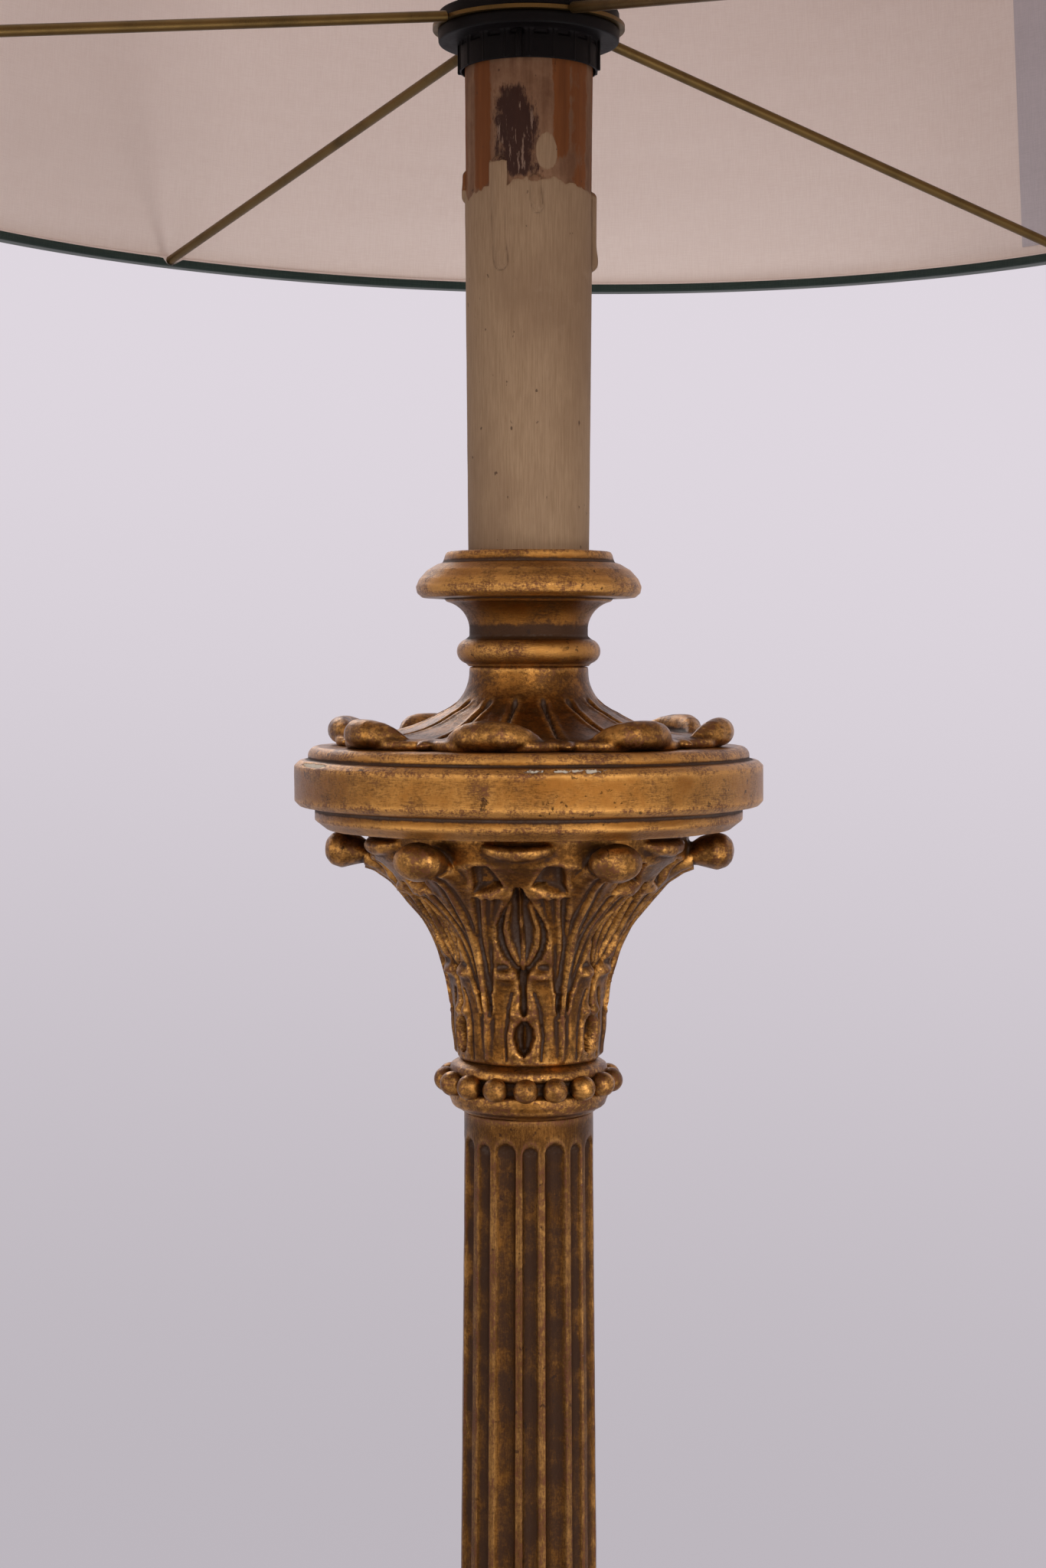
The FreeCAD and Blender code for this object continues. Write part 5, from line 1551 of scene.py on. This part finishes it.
    def build(self, finishes: Finishes) -> None:
        """Makes and dresses the shade."""
        lining_cloth, edge_cloth = finishes["shade_lining_cloth"], finishes["edge_cloth"]
        cover = dressed(
            self.shell("cover_cloth", 0.05, self.cover_thick - 0.1, 0.25), finishes["shade_green_cloth"],
            "shade", "green_cloth", "shade_cover", smooth=60)
        lining = dressed(
            self.shell("lining_cloth_sheet", self.cover_thick + 0.35, self.lining_thick - 0.1, 0.2),
            lining_cloth, "shade", "lining_cloth", "shade_lining", smooth=60)
        inner = [
            dressed(self.seam(), finishes["seam_cloth"], "shade", "lining_cloth", "lining_seam", smooth=60)]
        for name, at_top in (("lower_hem", False), ("upper_hem", True)):
            inner.append(dressed(self.hem(name, at_top), lining_cloth, "shade", "lining_cloth", smooth=60))
        edges = [
            dressed(self.binding(name, at_top), edge_cloth, "shade", "edge_cloth", node)
            for name, at_top, node in (
                ("lower_edge_binding", False, "bottom_binding"),
                ("upper_edge_binding", True, "top_binding"))
        ]


# ------------------------------------------------------------------ what stays as the model has it


PLAIN_NODES = {
    "felt": ("felt_pads",),
    "plain_beech": ("foot_dowels", "sleeve_bushes"),
    "cast_iron": ("ballast_weight",),
    "zinc_plate": (
        "base_cover", "cover_screws", "threaded_rod", "lower_washer", "lower_nut", "upper_washer",
        "upper_nut", "grub_screw"),
    "black_moulding": ("cord_gland", "holder_cap", "holder_shell"),
    "glazed_ceramic": ("holder_insert",),
    "contact_brass": ("terminal_screws", "contact_shell", "centre_contact", "bulb_contact"),
    "brassed_wire": ("carrier_ring", "carrier_arms", "bottom_rim_wire", "top_rim_wire"),
    "black_glass": ("bulb_insulator",),
    "nickel_cap": ("bulb_cap",),
    "opal_glass": ("bulb_glass",),
}


def dress_model(nodes: dict[str, bpy.types.Object], finishes: Finishes) -> None:
    """Gives the model's own nodes their finishes.

    Args:
        nodes: the model's objects by name.
        finishes: the materials.
    """
    for finish, names in PLAIN_NODES.items():
        for name in names:
            slots = nodes[name].data.materials
            if not slots:
                slots.append(None)
            for index in range(len(slots)):
                slots[index] = finishes[finish]
            log.info("%s: %s", name, finish)


# ------------------------------------------------------------------ camera, floor and light


@dataclass
class Studio:
    """A pale floor, an even world, four soft lamps and the camera."""

    eye: tuple[float, float, float] = (-0.0018, -0.82363, 1.240)
    pitch: float = 2.865
    lens: float = 59.766
    floor_radius: float = 2.6
    aimed_at: tuple[float, float, float] = (0, 0, 1.15)

    def camera(self) -> None:
        """The camera at the eye, pitched down."""
        data = bpy.data.cameras.new("camera")
        data.lens = self.lens
        data.sensor_width = 36.0
        data.clip_start = 0.02
        made = added("camera", data)
        made.location = self.eye
        made.rotation_euler = (math.radians(90 - self.pitch), 0, 0)
        bpy.context.scene.camera = made

    def floor(self) -> None:
        """A round pale floor, a little cloudy."""
        choose()
        bpy.ops.mesh.primitive_circle_add(vertices=96, radius=self.floor_radius, fill_type="NGON")
        made = bpy.context.active_object
        made.name = "studio_floor"
        finish, g = new_material("studio_floor")
        cloudy = g.noise(1.3, 3, seed=2.0)
        g.surface(Base_Color=g.mix(cloudy, (0.60, 0.56, 0.60), (0.66, 0.62, 0.66)), Roughness=0.85)
        made.data.materials.append(finish)

    def world(self) -> None:
        """Even light, with a pale lavender-grey backdrop where it is seen directly or in a reflection."""
        world = bpy.data.worlds.new("studio")
        bpy.context.scene.world = world
        g = Graph(world)
        here = g.node("ShaderNodeTexCoord", output="Generated")
        up = g.node("ShaderNodeSeparateXYZ", {}, {0: here}, "Z")
        aside = g.node("ShaderNodeSeparateXYZ", {}, {0: here}, "X")
        lightness = g.between(up + aside * 0.12, -0.36, 0.14)
        backdrop = g.mix(lightness, (0.505, 0.468, 0.510), (0.735, 0.680, 0.742))
        path = g.tree.nodes.new("ShaderNodeLightPath")
        seen: Value = 0.0
        for ray in ("Is Glossy Ray", "Is Transmission Ray", "Is Camera Ray"):
            seen = g.node(
                "ShaderNodeMath", {"operation": "MAXIMUM"}, {0: Wire(g, path.outputs[ray]), 1: seen})
        colour = g.mix(seen, (0.56, 0.55, 0.56), backdrop)
        light = g.node("ShaderNodeBackground", {}, {"Color": colour, "Strength": 1.0})
        end = g.tree.nodes.new("ShaderNodeOutputWorld")
        g.tree.links.new(light.source, end.inputs["Surface"])

    def lamps(self) -> None:
        """A key lamp before the standard, weaker ones at its left and low down, one from behind above."""
        for name, place, size, power in (
            ("key", (0.75, -2.3, 1.75), 1.1, 24),
            ("fill", (-1.9, -1.3, 1.2), 1.2, 12),
            ("low", (1.5, -1.5, 0.25), 0.9, 12),
            ("back", (-0.8, 1.9, 2.5), 1.0, 12),
        ):
            data = bpy.data.lights.new(name, "AREA")
            data.size = size
            data.energy = power
            made = added(name, data)
            made.location = place
            aim = Vector(self.aimed_at) - Vector(place)
            made.rotation_euler = aim.to_track_quat("-Z", "Y").to_euler()

    def build(self) -> None:
        """Makes the studio."""
        self.camera()
        self.floor()
        self.world()
        self.lamps()
        bpy.context.scene.view_settings.view_transform = "Standard"


LOWER_RING_SEAT = 1434.2
UPPER_RING_SEAT = 1435.6


def main() -> None:
    """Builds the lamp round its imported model."""
    logging.basicConfig(level=logging.INFO, format="%(message)s")
    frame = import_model()
    choose()
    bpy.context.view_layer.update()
    finishes = Finishes()
    dress_model(frame["nodes"], finishes)
    Studio().build()
    for assembly in (
        Base(), Standard(), Capital(), Candle(),
        Ring("lower_shade_ring", "support_ring", LOWER_RING_SEAT, -1),
        Ring("upper_shade_ring", "clamp_ring", UPPER_RING_SEAT, 1),
        Shade(),
    ):
        assembly.build(finishes)


if __name__ == "__main__":
    main()
